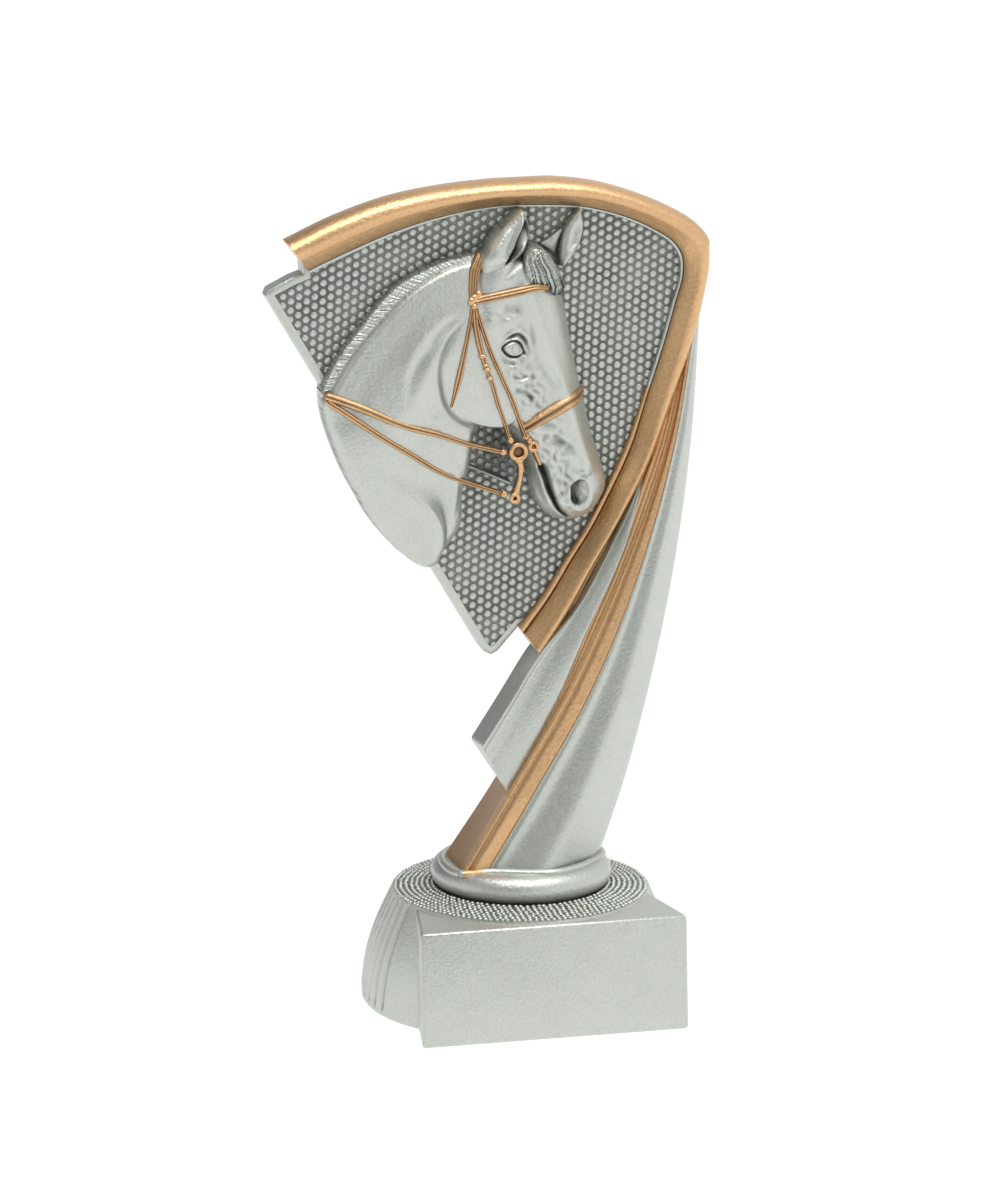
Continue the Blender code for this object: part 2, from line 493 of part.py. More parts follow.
def make_column():
    """Column that narrows and leans as it rises, with a gold rib and a deep flute in front."""
    lines = {name: smooth_path(points, pieces=12) for name, points in COLUMN_LINES.items()}

    def at(name, height):
        line = lines[name]
        return np.array([np.interp(height, line[:, 0], line[:, 1]), np.interp(height, line[:, 0], line[:, 2])])

    rings = []
    for height in np.linspace(COLUMN_FOOT, COLUMN_TOP, COLUMN_LEVELS):
        left_back, ridge, edge = at("left_back", height), at("gold_ridge", height), at("gold_edge", height)
        flat = [left_back + (ridge - left_back) * share for share in (0.0, 0.5, 1.0)]
        curve = smooth_path([edge] + [at(name, height) for name in ("flute", "belly", "right", "right_back",
                                                                    "back")] + [left_back], pieces=3)
        outline = np.vstack([flat, curve[:-1]])
        rings.append(np.column_stack([outline, np.full(len(outline), height)]))
    return tube_mesh("column_shape", place(rings))


def make_wing():
    """Wing on the left side of the column, swelling towards the rib and cut off at its foot."""
    left = smooth_path(WING_LEFT, pieces=2)
    right = smooth_path(WING_RIGHT, pieces=2)
    rings = []
    for (lx, lz), (rx, rz) in zip(left, right):
        ring = [(lx + (rx - lx) * share, y, lz + (rz - lz) * share) for share, y in WING_FRONT]
        ring.append((rx + WING_ROOT[0], WING_ROOT[1], rz + WING_ROOT[2]))
        ring.append((lx - WING_SIDE_LEAN, WING_BACK_Y, lz))
        rings.append(ring)
    return tube_mesh("wing_shape", place(rings))


def make_frame():
    """Moulded frame, domed near its outer edge, swept along the two edge lines."""
    rings = []
    for (ox, oz), (ix, iz) in zip(FRAME_OUTER, FRAME_INNER):
        ring = []
        for share, height in FRAME_PROFILE:
            ring.append((ox + (ix - ox) * share, -PANEL_FACE - height, oz + (iz - oz) * share))
        for share, y in ((0.99, -PANEL_FACE + 1.0), (0.9, PANEL_BACK_Y + FRAME_BACK_LIP),
                         (0.08, PANEL_BACK_Y + FRAME_BACK_LIP), (0.0, PANEL_BACK_Y)):
            ring.append((ox + (ix - ox) * share, y, oz + (iz - oz) * share))
        rings.append(ring)
    return tube_mesh("frame_shape", place(rings))


def make_panel():
    """Flat panel with a chamfered front edge."""
    bm = bmesh.new()
    verts = [bm.verts.new(spot) for spot in place([(x, PANEL_BACK_Y, z) for x, z in PANEL_OUTLINE])]
    back = bm.faces.new(verts)
    moved = bmesh.ops.extrude_face_region(bm, geom=[back])["geom"]
    front = [item for item in moved if isinstance(item, bmesh.types.BMVert)]
    bmesh.ops.translate(bm, verts=front, vec=(0.0, -PANEL_THICKNESS, 0.0))
    rim = [edge for edge in bm.edges if all(vert.co.y < -PANEL_FACE + 0.1 for vert in edge.verts)]
    bmesh.ops.bevel(bm, geom=rim, offset=PANEL_CHAMFER, segments=1, profile=0.5, affect="EDGES")
    return finish_mesh("panel_shape", bm)


def make_horse():
    """Relief of the horse: a grid lifted to the height function, cut to the outline and given a back."""
    loop = smooth_path(HORSE_OUTLINE, closed=True)
    low = loop.min(axis=0)
    size = loop.max(axis=0) - low
    columns = int(math.ceil(size[0] / RELIEF_GRID)) + 1
    rows = int(math.ceil(size[1] / RELIEF_GRID)) + 1
    bm = bmesh.new()
    bmesh.ops.create_grid(bm, x_segments=columns, y_segments=rows, size=0.5)
    for vert in bm.verts:
        x = low[0] + (vert.co.x + 0.5) * columns * RELIEF_GRID - 0.5 * RELIEF_GRID
        z = low[1] + (vert.co.y + 0.5) * rows * RELIEF_GRID - 0.5 * RELIEF_GRID
        vert.co = (x, 0.0, z)
    spots = np.array([face.calc_center_median() for face in bm.faces])
    depth = depth_inside(spots[:, 0], spots[:, 2], HORSE_OUTLINE)
    outside = [face for face, reach in zip(bm.faces, depth) if reach < 0.0]
    bmesh.ops.delete(bm, geom=outside, context="FACES")
    fold_away_loose_corners(bm)
    ring = np.vstack([loop, loop[:1]])
    for vert in bm.verts:
        if vert.is_boundary:
            vert.co.x, vert.co.z = nearest_on(ring, vert.co.x, vert.co.z)
    inner = [vert for vert in bm.verts if not vert.is_boundary]
    for turn in range(GRID_RELAXING):
        bmesh.ops.smooth_vert(bm, verts=inner, factor=0.5, use_axis_x=True, use_axis_z=True)
    places = np.array([vert.co[:] for vert in bm.verts])
    heights = horse_height(places[:, 0], places[:, 2])
    rim = [edge for edge in bm.edges if edge.is_boundary]
    moved = bmesh.ops.extrude_edge_only(bm, edges=rim)["geom"]
    behind = {item for item in moved if isinstance(item, bmesh.types.BMVert)}
    front = [vert for vert in bm.verts if vert not in behind]
    for vert, height in zip(front, heights):
        vert.co.y = -PANEL_FACE - height
    for vert in behind:
        vert.co.y = -HORSE_BACK
    for vert, spot in zip(bm.verts, place([vert.co[:] for vert in bm.verts])):
        vert.co = spot
    bmesh.ops.holes_fill(bm, edges=[edge for edge in bm.edges if edge.is_boundary], sides=0)
    return finish_mesh("horse_shape", bm)


def fold_away_loose_corners(bm):
    """Take off cells that hang on by one corner or stand out alone, until none is left."""
    while True:
        loose = [vert for vert in bm.verts if len([e for e in vert.link_edges if e.is_boundary]) > 2]
        thin = [face for face in bm.faces if len([e for e in face.edges if e.is_boundary]) > 2]
        pinched = {vert.link_faces[0] for vert in loose} | set(thin)
        if not pinched:
            return
        bmesh.ops.delete(bm, geom=list(pinched), context="FACES")


def nearest_on(ring, x, z):
    """Nearest point of a closed line to a place."""
    start, step = ring[:-1], np.diff(ring, axis=0)
    length = (step ** 2).sum(axis=1) + 1e-12
    share = np.clip(((x - start[:, 0]) * step[:, 0] + (z - start[:, 1]) * step[:, 1]) / length, 0.0, 1.0)
    spots = start + share[:, None] * step
    best = np.argmin((spots[:, 0] - x) ** 2 + (spots[:, 1] - z) ** 2)
    return spots[best]


def make_strap(name, points, width, seat, thickness, pieces=2, span=None):
    """Flat strap that follows the horse's surface; one with a span crosses the gaps at that height."""
    path = smooth_path(points, pieces=pieces)
    surface = horse_height(path[:, 0], path[:, 1])
    if span is not None:
        surface = np.where(depth_inside(path[:, 0], path[:, 1], HORSE_OUTLINE) > 0, surface, span)
    along = np.gradient(path, axis=0)
    along /= np.linalg.norm(along, axis=1)[:, None]
    across = np.column_stack([-along[:, 1], along[:, 0]]) * width / 2.0
    rings = []
    for (x, z), (ax, az), height in zip(path, across, surface):
        low, high = height - seat, height - seat + thickness
        shoulder = 0.7 * high + 0.3 * low
        rings.append([(x + ax * share, -PANEL_FACE - top, z + az * share) for share, top in (
            (-1.0, low), (-1.0, shoulder), (-0.5, high), (0.5, high), (1.0, shoulder), (1.0, low))])
    return tube_mesh(name, place(rings))


def make_straps():
    """All the bands of the bridle and the reins; where two cross, one is a little thicker."""
    once, twice, thrice = (STRAP_THICKNESS + STRAP_OVERLAP * number for number in (1, 2, 3))
    return [
        make_strap("headpiece_shape", HEADPIECE, HEADPIECE_WIDTH, STRAP_SEAT, STRAP_THICKNESS),
        make_strap("browband_shape", BROWBAND, BROWBAND_WIDTH, STRAP_SEAT, STRAP_THICKNESS),
        make_strap("throatlash_shape", THROATLASH, CHEEK_STRAP_WIDTH, STRAP_SEAT, STRAP_THICKNESS),
        make_strap("cheek_strap_shape", CHEEK_STRAP, CHEEK_STRAP_WIDTH, STRAP_SEAT, twice),
        make_strap("inner_strap_shape", INNER_STRAP, CHEEK_STRAP_WIDTH, STRAP_SEAT, once),
        make_strap("noseband_shape", NOSEBAND, NOSEBAND_WIDTH, STRAP_SEAT, thrice),
        make_strap("mouth_strap_shape", MOUTH_STRAP, MOUTH_STRAP_WIDTH, STRAP_SEAT, STRAP_THICKNESS),
        make_strap("upper_rein_shape", UPPER_REIN, REIN_WIDTH, REIN_SEAT, REIN_THICKNESS, 3, UPPER_REIN_SPAN),
        make_strap("lower_rein_shape", LOWER_REIN, REIN_WIDTH, REIN_SEAT, REIN_THICKNESS + STRAP_OVERLAP, 3,
                   LOWER_REIN_SPAN),
    ]


def make_bit():
    """Bit ring, its lever and the far rein that lies on the panel."""
    ring = bmesh.new()
    bmesh.ops.create_circle(ring, segments=6, radius=BIT_WIRE / 2.0)
    bmesh.ops.rotate(ring, verts=ring.verts, matrix=QUARTER_TURN)
    bmesh.ops.translate(ring, verts=ring.verts, vec=(BIT_RING_RADIUS, 0.0, 0.0))
    bmesh.ops.spin(ring, geom=ring.verts[:] + ring.edges[:], cent=(0, 0, 0), axis=(0, 0, 1), steps=14,
                   angle=math.tau, use_merge=True)
    bmesh.ops.rotate(ring, verts=ring.verts, matrix=QUARTER_TURN)
    centre = place((BIT_CENTRE[0], -PANEL_FACE - BIT_HEIGHT, BIT_CENTRE[1]))
    bmesh.ops.translate(ring, verts=ring.verts, vec=centre)
    return [
        finish_mesh("bit_ring_shape", ring),
        make_strap("bit_lever_shape", BIT_LEVER, BIT_LEVER_WIDTH, REIN_SEAT, STRAP_THICKNESS, 2, BIT_LEVER_SPAN),
        make_strap("far_rein_shape", FAR_REIN, FAR_REIN_WIDTH, STRAP_SEAT, STRAP_THICKNESS, 2, 0.0),
    ]


def paint(name, colour, roughness, metallic):
    material = bpy.data.materials.new(name)
    material.use_nodes = True
    shader = material.node_tree.nodes["Principled BSDF"]
    shader.inputs["Base Color"].default_value = (*colour, 1.0)
    shader.inputs["Roughness"].default_value = roughness
    shader.inputs["Metallic"].default_value = metallic
    return material


def main():
    for item in list(bpy.data.objects):
        bpy.data.objects.remove(item)
    casting = make_block()
    casting.name = "horse_trophy_casting"
    casting.data.materials.append(paint("silver_paint", (0.58, 0.61, 0.58), 0.4, 0.7))
    shapes = [make_skirt(), make_ring(), make_column(), make_wing(), make_panel(), make_frame(), make_horse()]
    shapes += make_straps() + make_bit()
    for shape in shapes:
        shape.hide_render = True
        shape.display_type = "WIRE"
        union = casting.modifiers.new("join_" + shape.name, "BOOLEAN")
        union.operation = "UNION"
        union.solver = "EXACT"
        union.object = shape


main()
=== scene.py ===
# %% [markdown]
# # A cast horse trophy, dressed over its frame
# The real trophy is poured in resin as one casting, then painted: satin silver all over, a gold
# bronze on the frame, the rib and the bridle, and a thin dark wash that stays in the hollows.
# The frame holds the plain casting. Every cell below models one part of it again, finer.
# Sizes are in millimetres, measured on the casting, and turn into metres when a piece is finished.

import math

import bmesh
import bpy
import numpy as np
from mathutils import Matrix, Vector


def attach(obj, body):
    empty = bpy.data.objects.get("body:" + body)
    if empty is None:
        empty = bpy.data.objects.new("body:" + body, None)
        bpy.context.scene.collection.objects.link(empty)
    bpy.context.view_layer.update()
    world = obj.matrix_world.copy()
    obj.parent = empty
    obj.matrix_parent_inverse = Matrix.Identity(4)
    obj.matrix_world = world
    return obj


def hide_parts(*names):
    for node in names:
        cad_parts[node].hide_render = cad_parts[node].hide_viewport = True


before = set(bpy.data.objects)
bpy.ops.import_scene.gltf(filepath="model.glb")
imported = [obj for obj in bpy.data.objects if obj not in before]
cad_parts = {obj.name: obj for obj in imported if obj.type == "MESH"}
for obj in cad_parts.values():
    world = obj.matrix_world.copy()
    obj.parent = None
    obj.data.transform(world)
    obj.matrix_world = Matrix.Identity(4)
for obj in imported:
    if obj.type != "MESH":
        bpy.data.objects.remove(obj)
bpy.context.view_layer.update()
MM = 0.001
CASTING = "horse_trophy_casting"

# %% [markdown]
# ## The camera
# A product picture is taken with a long lens from a little above and a little to the left, so that
# upright edges stay nearly parallel. The camera is set first, because every fine shape is judged
# through it.


# %% Camera at the viewing angle
def show(name, data):
    """New object in the scene."""
    item = bpy.data.objects.new(name, data)
    bpy.context.scene.collection.objects.link(item)
    return item


VIEW_TURN_DEG = 14.3
VIEW_PITCH_DEG = 14.4
VIEW_TARGET = Vector((-12.38, -33.77, 96.9))
VIEW_DISTANCE = 1669.6
LENS_LENGTH = 240.0


def set_camera():
    """Camera that looks to the right and down at the trophy."""
    turn, pitch = math.radians(VIEW_TURN_DEG), math.radians(VIEW_PITCH_DEG)
    sight = Vector((math.sin(turn) * math.cos(pitch), math.cos(turn) * math.cos(pitch), -math.sin(pitch)))
    lens = bpy.data.cameras.new("view")
    lens.lens = LENS_LENGTH
    lens.sensor_width = 36.0
    lens.clip_end = 20.0
    camera = show("view", lens)
    camera.location = (VIEW_TARGET - sight * VIEW_DISTANCE) * MM
    camera.rotation_euler = sight.to_track_quat("-Z", "Y").to_euler()
    bpy.context.scene.camera = camera
    return camera


print("camera at", [round(value, 3) for value in set_camera().location])

# %% [markdown]
# ## Smooth lines through a few points
# A carver thinks in lines: the crest of the neck, the jaw, the edge of the frame. Each is a short
# list of points here, and a Catmull-Rom curve joins them. It passes through every point, which a
# Bezier curve with guessed handles does not, so a measured point stays where it was measured.


# %% Curves through points
def smooth_path(points, closed=False, pieces=4):
    """Centripetal Catmull-Rom curve through the points, each a row of two or more values."""
    rows = np.asarray(points, float)
    if closed:
        rows = np.vstack([rows[-1], rows, rows[0], rows[1]])
    else:
        rows = np.vstack([2 * rows[0] - rows[1], rows, 2 * rows[-1] - rows[-2]])
    curve = []
    for a, b, c, d in zip(rows[:-3], rows[1:-2], rows[2:-1], rows[3:]):
        t1 = np.linalg.norm(b - a) ** 0.5
        t2 = t1 + np.linalg.norm(c - b) ** 0.5
        t3 = t2 + np.linalg.norm(d - c) ** 0.5
        for t in np.linspace(t1, t2, pieces, endpoint=False):
            a1 = (t1 - t) / t1 * a + t / t1 * b
            a2 = (t2 - t) / (t2 - t1) * b + (t - t1) / (t2 - t1) * c
            a3 = (t3 - t) / (t3 - t2) * c + (t - t2) / (t3 - t2) * d
            b1 = (t2 - t) / t2 * a1 + t / t2 * a2
            b2 = (t3 - t) / (t3 - t1) * a2 + (t - t1) / (t3 - t1) * a3
            curve.append((t2 - t) / (t2 - t1) * b1 + (t - t1) / (t2 - t1) * b2)
    if not closed:
        curve.append(rows[-2])
    return np.array(curve)


def ramp(value, low, high):
    """Soft step from 0 at low to 1 at high."""
    share = np.clip((value - low) / (high - low), 0.0, 1.0)
    return share * share * (3.0 - 2.0 * share)


def bell(distance, width):
    """Soft hump that is 1 at no distance and fades out over the width."""
    return np.exp(-(distance / width) ** 2)


# %% [markdown]
# ## The paints
# Both paints are metal flakes in a satin binder. Three things make them look real: a fine grain
# that breaks up the gloss, a slow mottling where the brush went, and the dark wash in the hollows.
# The first two are noise. The wash follows the shape, so each piece carries it as an attribute
# called wash_and_shade, from 0 on the high spots to 1 in the hollows. The same attribute also
# carries painted shade: on the underside of the ring, on the left facet of the column, round the
# bit and in some hollows of the horse. One node group mixes all of it, and each paint places it
# with its own values.


# %% Helpers for nodes
def map_range(tree, value, *limits, curve="LINEAR"):
    """Node that carries a value from one range to another."""
    node = tree.nodes.new("ShaderNodeMapRange")
    node.interpolation_type = curve
    for socket, limit in zip(("From Min", "From Max", "To Min", "To Max"), limits):
        node.inputs[socket].default_value = limit
    tree.links.new(value, node.inputs["Value"])
    return node.outputs["Result"]


def combine(tree, kind, *values):
    """Math node on two values, each a socket or a number."""
    node = tree.nodes.new("ShaderNodeMath")
    node.operation = kind
    for socket, value in zip(node.inputs, values):
        if isinstance(value, float):
            socket.default_value = value
        else:
            tree.links.new(value, socket)
    return node.outputs["Value"]


# %% The shared group for aged paint and painted shade
GRAIN_PER_METRE = 1700.0
MOTTLE_PER_METRE = 170.0
GROUP_INPUTS = {"Place": "Vector", "Paint": "Color", "Wash And Shade Colour": "Color", "Wash And Shade": "Float", "Mottle": "Float",
                "Roughness": "Float"}
GROUP_OUTPUTS = {"Colour": "Color", "Roughness": "Float", "Height": "Float"}
WASH_AND_SHADE_UNEVEN = (0.3, 0.7, 0.8, 1.15)
SPECKLE_FADE = (0.45, 0.85, 1.0, 0.0)
GLOSS_BROKEN = (0.3, 0.7, -0.04, 0.04)
MOTTLE_IN_SPECKLE = 0.3
MOTTLE_IN_HEIGHT = 0.4
WASH_AND_SHADE_DULLS = 0.2


def aged_paint_and_shade_group():
    """Node group: paint colour with grain, mottling and a dark wash that also carries painted shade, its
    roughness and its height.
    """
    group = bpy.data.node_groups.new("aged paint and shade", "ShaderNodeTree")
    for in_out, sockets in (("INPUT", GROUP_INPUTS), ("OUTPUT", GROUP_OUTPUTS)):
        for name, kind in sockets.items():
            group.interface.new_socket(name=name, in_out=in_out, socket_type="NodeSocket" + kind)
    nodes, links = group.nodes, group.links
    inside = nodes.new("NodeGroupInput").outputs
    out = nodes.new("NodeGroupOutput").inputs

    def noise(scale, detail):
        """Noise texture at the place that is shaded."""
        node = nodes.new("ShaderNodeTexNoise")
        node.inputs["Scale"].default_value = scale
        node.inputs["Detail"].default_value = detail
        links.new(inside["Place"], node.inputs["Vector"])
        return node.outputs["Fac"]

    def mix(amount, one, other):
        """Colour between one and the other."""
        node = nodes.new("ShaderNodeMix")
        node.data_type = "RGBA"
        for socket, value in (("Factor", amount), ("A", one), ("B", other)):
            links.new(value, node.inputs[socket])
        return node.outputs["Result"]

    grain = noise(GRAIN_PER_METRE, 2.0)
    mottle = noise(MOTTLE_PER_METRE, 3.0)
    uneven_wash_and_shade = combine(group, "MULTIPLY", inside["Wash And Shade"], map_range(group, mottle, *WASH_AND_SHADE_UNEVEN))
    speckle = combine(group, "ADD", grain, combine(group, "MULTIPLY", mottle, MOTTLE_IN_SPECKLE))
    thin = combine(group, "MULTIPLY", inside["Mottle"], map_range(group, speckle, *SPECKLE_FADE))
    dulled = mix(thin, inside["Paint"], inside["Wash And Shade Colour"])
    links.new(mix(uneven_wash_and_shade, dulled, inside["Wash And Shade Colour"]), out["Colour"])
    satin = combine(group, "ADD", inside["Roughness"], map_range(group, grain, *GLOSS_BROKEN))
    dull = combine(group, "MULTIPLY", inside["Wash And Shade"], WASH_AND_SHADE_DULLS)
    links.new(combine(group, "ADD", satin, dull), out["Roughness"])
    height = combine(group, "ADD", grain, combine(group, "MULTIPLY", mottle, MOTTLE_IN_HEIGHT))
    links.new(height, out["Height"])
    print("aged paint and shade:", len(nodes), "nodes")
    return group


AGED_PAINT_AND_SHADE = aged_paint_and_shade_group()

# %% The two paints
SILVER = (0.62, 0.65, 0.605)
SILVER_WASH_AND_SHADE = (0.055, 0.062, 0.058)
GOLD = (0.81, 0.51, 0.26)
GOLD_WASH_AND_SHADE = (0.06, 0.024, 0.01)
COAT_ROUGHNESS = 0.3
GRAIN_HEIGHT = 0.0001


def paint_material(name, colour, wash_and_shade_colour, mottle, roughness, metallic, bump, gloss):
    """Metal paint: the aged paint group feeds colour, roughness and a very low bump."""
    material = bpy.data.materials.new(name)
    material.use_nodes = True
    nodes, links = material.node_tree.nodes, material.node_tree.links
    shader = nodes["Principled BSDF"]
    place = nodes.new("ShaderNodeTexCoord")
    wash_and_shade = nodes.new("ShaderNodeAttribute")
    wash_and_shade.attribute_name = "wash_and_shade"
    aged_and_shaded = nodes.new("ShaderNodeGroup")
    aged_and_shaded.node_tree = AGED_PAINT_AND_SHADE
    for socket, value in (("Paint", (*colour, 1.0)), ("Wash And Shade Colour", (*wash_and_shade_colour, 1.0)), ("Mottle", mottle),
                          ("Roughness", roughness)):
        aged_and_shaded.inputs[socket].default_value = value
    links.new(place.outputs["Object"], aged_and_shaded.inputs["Place"])
    links.new(wash_and_shade.outputs["Fac"], aged_and_shaded.inputs["Wash And Shade"])
    links.new(aged_and_shaded.outputs["Colour"], shader.inputs["Base Color"])
    links.new(aged_and_shaded.outputs["Roughness"], shader.inputs["Roughness"])
    shader.inputs["Metallic"].default_value = metallic
    shader.inputs["Coat Weight"].default_value = gloss
    shader.inputs["Coat Roughness"].default_value = COAT_ROUGHNESS
    relief = nodes.new("ShaderNodeBump")
    relief.inputs["Strength"].default_value = bump
    relief.inputs["Distance"].default_value = GRAIN_HEIGHT
    links.new(aged_and_shaded.outputs["Height"], relief.inputs["Height"])
    links.new(relief.outputs["Normal"], shader.inputs["Normal"])
    return material


PAINTS = {
    "silver_paint": paint_material("silver paint", SILVER, SILVER_WASH_AND_SHADE, mottle=0.13, roughness=0.42,
                                   metallic=0.85, bump=1.0, gloss=0.0),
    "gold_paint": paint_material("gold bronze paint", GOLD, GOLD_WASH_AND_SHADE, mottle=0.2, roughness=0.38,
                                 metallic=0.95, bump=1.0, gloss=0.4),
}
print("paints ready:", [paint.name for paint in PAINTS.values()])

# %% [markdown]
# ## How a piece is made and finished
# Most of the trophy is lofted: rings of points, one after another, with skin between them. A grid
# gives the skin, its vertices are moved onto the rings, and the seam between its two long sides is
# welded, so no face list is written by hand. A finished piece is scaled to metres, stays at the
# origin and rides on the one body, and the plain casting is hidden.


# %% Lofting and finishing
def start_piece():
    """New mesh whose vertices carry the wash and the painted shade."""
    bm = bmesh.new()
    bm.verts.layers.float.new("wash_and_shade")
    return bm


def wash_and_shade_layer(bm):
    """Where a mesh keeps the wash and the painted shade of its vertices."""
    return bm.verts.layers.float["wash_and_shade"]


def loft(rings, wash_and_shade_values=None, bm=None):
    """Closed skin through rings of points, added to a mesh or in a new one."""
    rings = np.asarray(rings, float)
    count, around = rings.shape[0], rings.shape[1]
    if bm is None:
        bm = start_piece()
    layer = wash_and_shade_layer(bm)
    made = bmesh.ops.create_grid(bm, x_segments=around, y_segments=count - 1, size=1.0)["verts"]
    for index, vert in enumerate(made):
        row, column = divmod(index, around + 1)
        vert.co = rings[row][column % around]
        if wash_and_shade_values is not None:
            vert[layer] = wash_and_shade_values[row][column % around]
    bmesh.ops.remove_doubles(bm, verts=made, dist=1e-4)
    rims = [edge for edge in bm.edges if edge.is_boundary]
    bmesh.ops.holes_fill(bm, edges=rims, sides=0)
    return bm


def finish_piece(name, bm, slot, sharp_deg=38.0):
    """Write a mesh in metres as a piece of the trophy, in the paint of its slot."""
    bmesh.ops.recalc_face_normals(bm, faces=bm.faces)
    bmesh.ops.scale(bm, verts=bm.verts, vec=(MM, MM, MM))
    mesh = bpy.data.meshes.new(name)
    bm.to_mesh(mesh)
    bm.free()
    mesh.shade_smooth()
    mesh.set_sharp_from_angle(angle=math.radians(sharp_deg))
    mesh.materials.append(PAINTS[slot])
    piece = show(name, mesh)
    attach(piece, "root")
    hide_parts(CASTING)
    mesh.calc_loop_triangles()
    print(f"{name}: {len(mesh.loop_triangles)} triangles")
    return piece


def circle(radius, centre_x, centre_y, height, count):
    """Ring of points round an upright axis."""
    angles = np.arange(count) * math.tau / count
    return np.column_stack([centre_x + radius * np.cos(angles), centre_y + radius * np.sin(angles),
                            np.full(count, height)])


# %% [markdown]
# ## The plinth block
# In front the plinth is a plain block whose face takes an engraved plate, which is bare here. It is
# a hull over eight corners, with every front edge rounded by a bevel of several segments, because
# cast edges are never sharp and the light on them is what draws the block.

# %% Plinth block
PLINTH_HEIGHT = 24.7
BLOCK_HALF_WIDTH = 29.2
BLOCK_FRONT = 33.8
BLOCK_BACK = 3.0
BLOCK_LEAN = 1.8
BLOCK_TAPER_DEG = 10.0
BLOCK_EDGE = 0.7


def make_block():
    """Trapezoid block whose plate face leans back a little."""
    back_half = BLOCK_HALF_WIDTH - math.tan(math.radians(BLOCK_TAPER_DEG)) * (BLOCK_FRONT - BLOCK_BACK)
    bm = start_piece()
    corners = []
    for height, lean in ((0.0, 0.0), (PLINTH_HEIGHT, BLOCK_LEAN)):
        for x, y in ((-BLOCK_HALF_WIDTH, -BLOCK_FRONT + lean), (BLOCK_HALF_WIDTH, -BLOCK_FRONT + lean),
                     (back_half, -BLOCK_BACK), (-back_half, -BLOCK_BACK)):
            corners.append(bm.verts.new((x, y, height)))
    bmesh.ops.convex_hull(bm, input=corners)
    bmesh.ops.dissolve_limit(bm, angle_limit=0.01, verts=bm.verts, edges=bm.edges)
    edges = [edge for edge in bm.edges if min(vert.co.y for vert in edge.verts) < -BLOCK_BACK - 1.0]
    bmesh.ops.bevel(bm, geom=edges, offset=BLOCK_EDGE, segments=5, profile=0.5, affect="EDGES", material=-1)
    return finish_piece("plinth_block", bm, "silver_paint")


make_block()

# %% [markdown]
# ## The pleated skirt
# Behind the block the plinth is a bell-shaped skirt with pleats like a rosette ribbon. Their
# creases are soft folds that start under the beads and die out above the foot, and a smooth patch
# is left beside the block. The wall is lofted from rings, and each ring is pushed in at the creases.

# %% Pleated skirt
SKIRT_FOOT_RADIUS = 33.6
SKIRT_TOP_RADIUS = 27.4
SKIRT_TOP_FORWARD = 2.9
SKIRT_BULGE = 1.6
SKIRT_STEPS = 720
SKIRT_LEVELS = 44
SKIRT_FOOT_ROUNDING = 0.5
FIRST_CREASE_DEG = 74.5
PLEAT_DEG = 6.2
PLEAT_SWELL = 0.28
CREASE_WASH = 0.75
CREASE_DEPTH = 0.75
CREASE_WIDTH = 0.42
BLOCK_COVER = 1.4
DISC_RISE = 0.4
DISC_CROWN = 0.9
DISC_EDGE_Z = PLINTH_HEIGHT + DISC_RISE
DISC_MIDDLE_Z = DISC_EDGE_Z + DISC_CROWN


def make_skirt():
    """Bell-shaped wall with creases, rounded in at the foot."""
    angles = np.arange(SKIRT_STEPS) * math.tau / SKIRT_STEPS
    azimuth = np.degrees(np.abs(np.mod(angles - math.pi / 2.0, math.tau) - math.pi))
    number = (azimuth - FIRST_CREASE_DEG) / PLEAT_DEG
    off_crease = np.radians(np.abs(number - np.round(number)) * PLEAT_DEG) * SKIRT_TOP_RADIUS
    pleated = ramp(azimuth, FIRST_CREASE_DEG - 2.0, FIRST_CREASE_DEG - 0.5)
    rings, wash_and_shade_values = [], []
    for share in np.linspace(0.0, 1.0, SKIRT_LEVELS):
        radius = SKIRT_FOOT_RADIUS + (SKIRT_TOP_RADIUS - SKIRT_FOOT_RADIUS) * share
        radius += SKIRT_BULGE * math.sin(math.pi * share)
        radius -= SKIRT_FOOT_ROUNDING * (1.0 - ramp(share, 0.0, 0.03))
        width = CREASE_WIDTH * (1.25 - 0.45 * share)
        reach = ramp(share, 0.02, 0.16) * pleated
        crease = bell(off_crease, width) * reach
        swell = PLEAT_SWELL * np.cos(np.pi * (number - np.round(number)) * 2.0) * reach
        wall = radius - CREASE_DEPTH * crease - swell
        ring = np.column_stack([wall * np.cos(angles), wall * np.sin(angles) - SKIRT_TOP_FORWARD * share,
                                np.full(SKIRT_STEPS, DISC_EDGE_Z * share)])
        ring[:, 1] = np.maximum(ring[:, 1], BLOCK_LEAN + BLOCK_COVER - BLOCK_FRONT)
        rings.append(ring)
        wash_and_shade_values.append(CREASE_WASH * bell(off_crease, 0.6 * width) * reach)
    return finish_piece("pleated_skirt", loft(rings, wash_and_shade_values), "silver_paint", 60.0)


make_skirt()

# %% [markdown]
# ## The beaded disc and the ring
# The top of the skirt is a low dome covered with rings of little beads, which catch the light one
# by one while the wash stays between them. Painted shade darkens the low side of each bead, the
# ground between them, and most of all the rows next to the ring. Each bead is a low sphere of its
# own: a texture would look flat from the side. The roll on the dome that holds the column is a
# turned profile, spun, with painted shade on its underside.

# %% Beaded disc
BEAD_FIRST_ROW = 18.9
BEAD_LAST_ROW = 26.9
BEAD_ROWS = 8
BEAD_PITCH = 1.22
BEAD_RADIUS = 0.6
BEAD_SHAPE = (0.92, 0.92, 0.8)
BEAD_OFF_ROW = 0.1
BEAD_OFF_PLACE = 0.14
RING_RADIUS = 19.4
RING_HEIGHT = 5.6
RING_CENTRE = (0.3, -2.2)
RING_TOP_Z = DISC_MIDDLE_Z + RING_HEIGHT


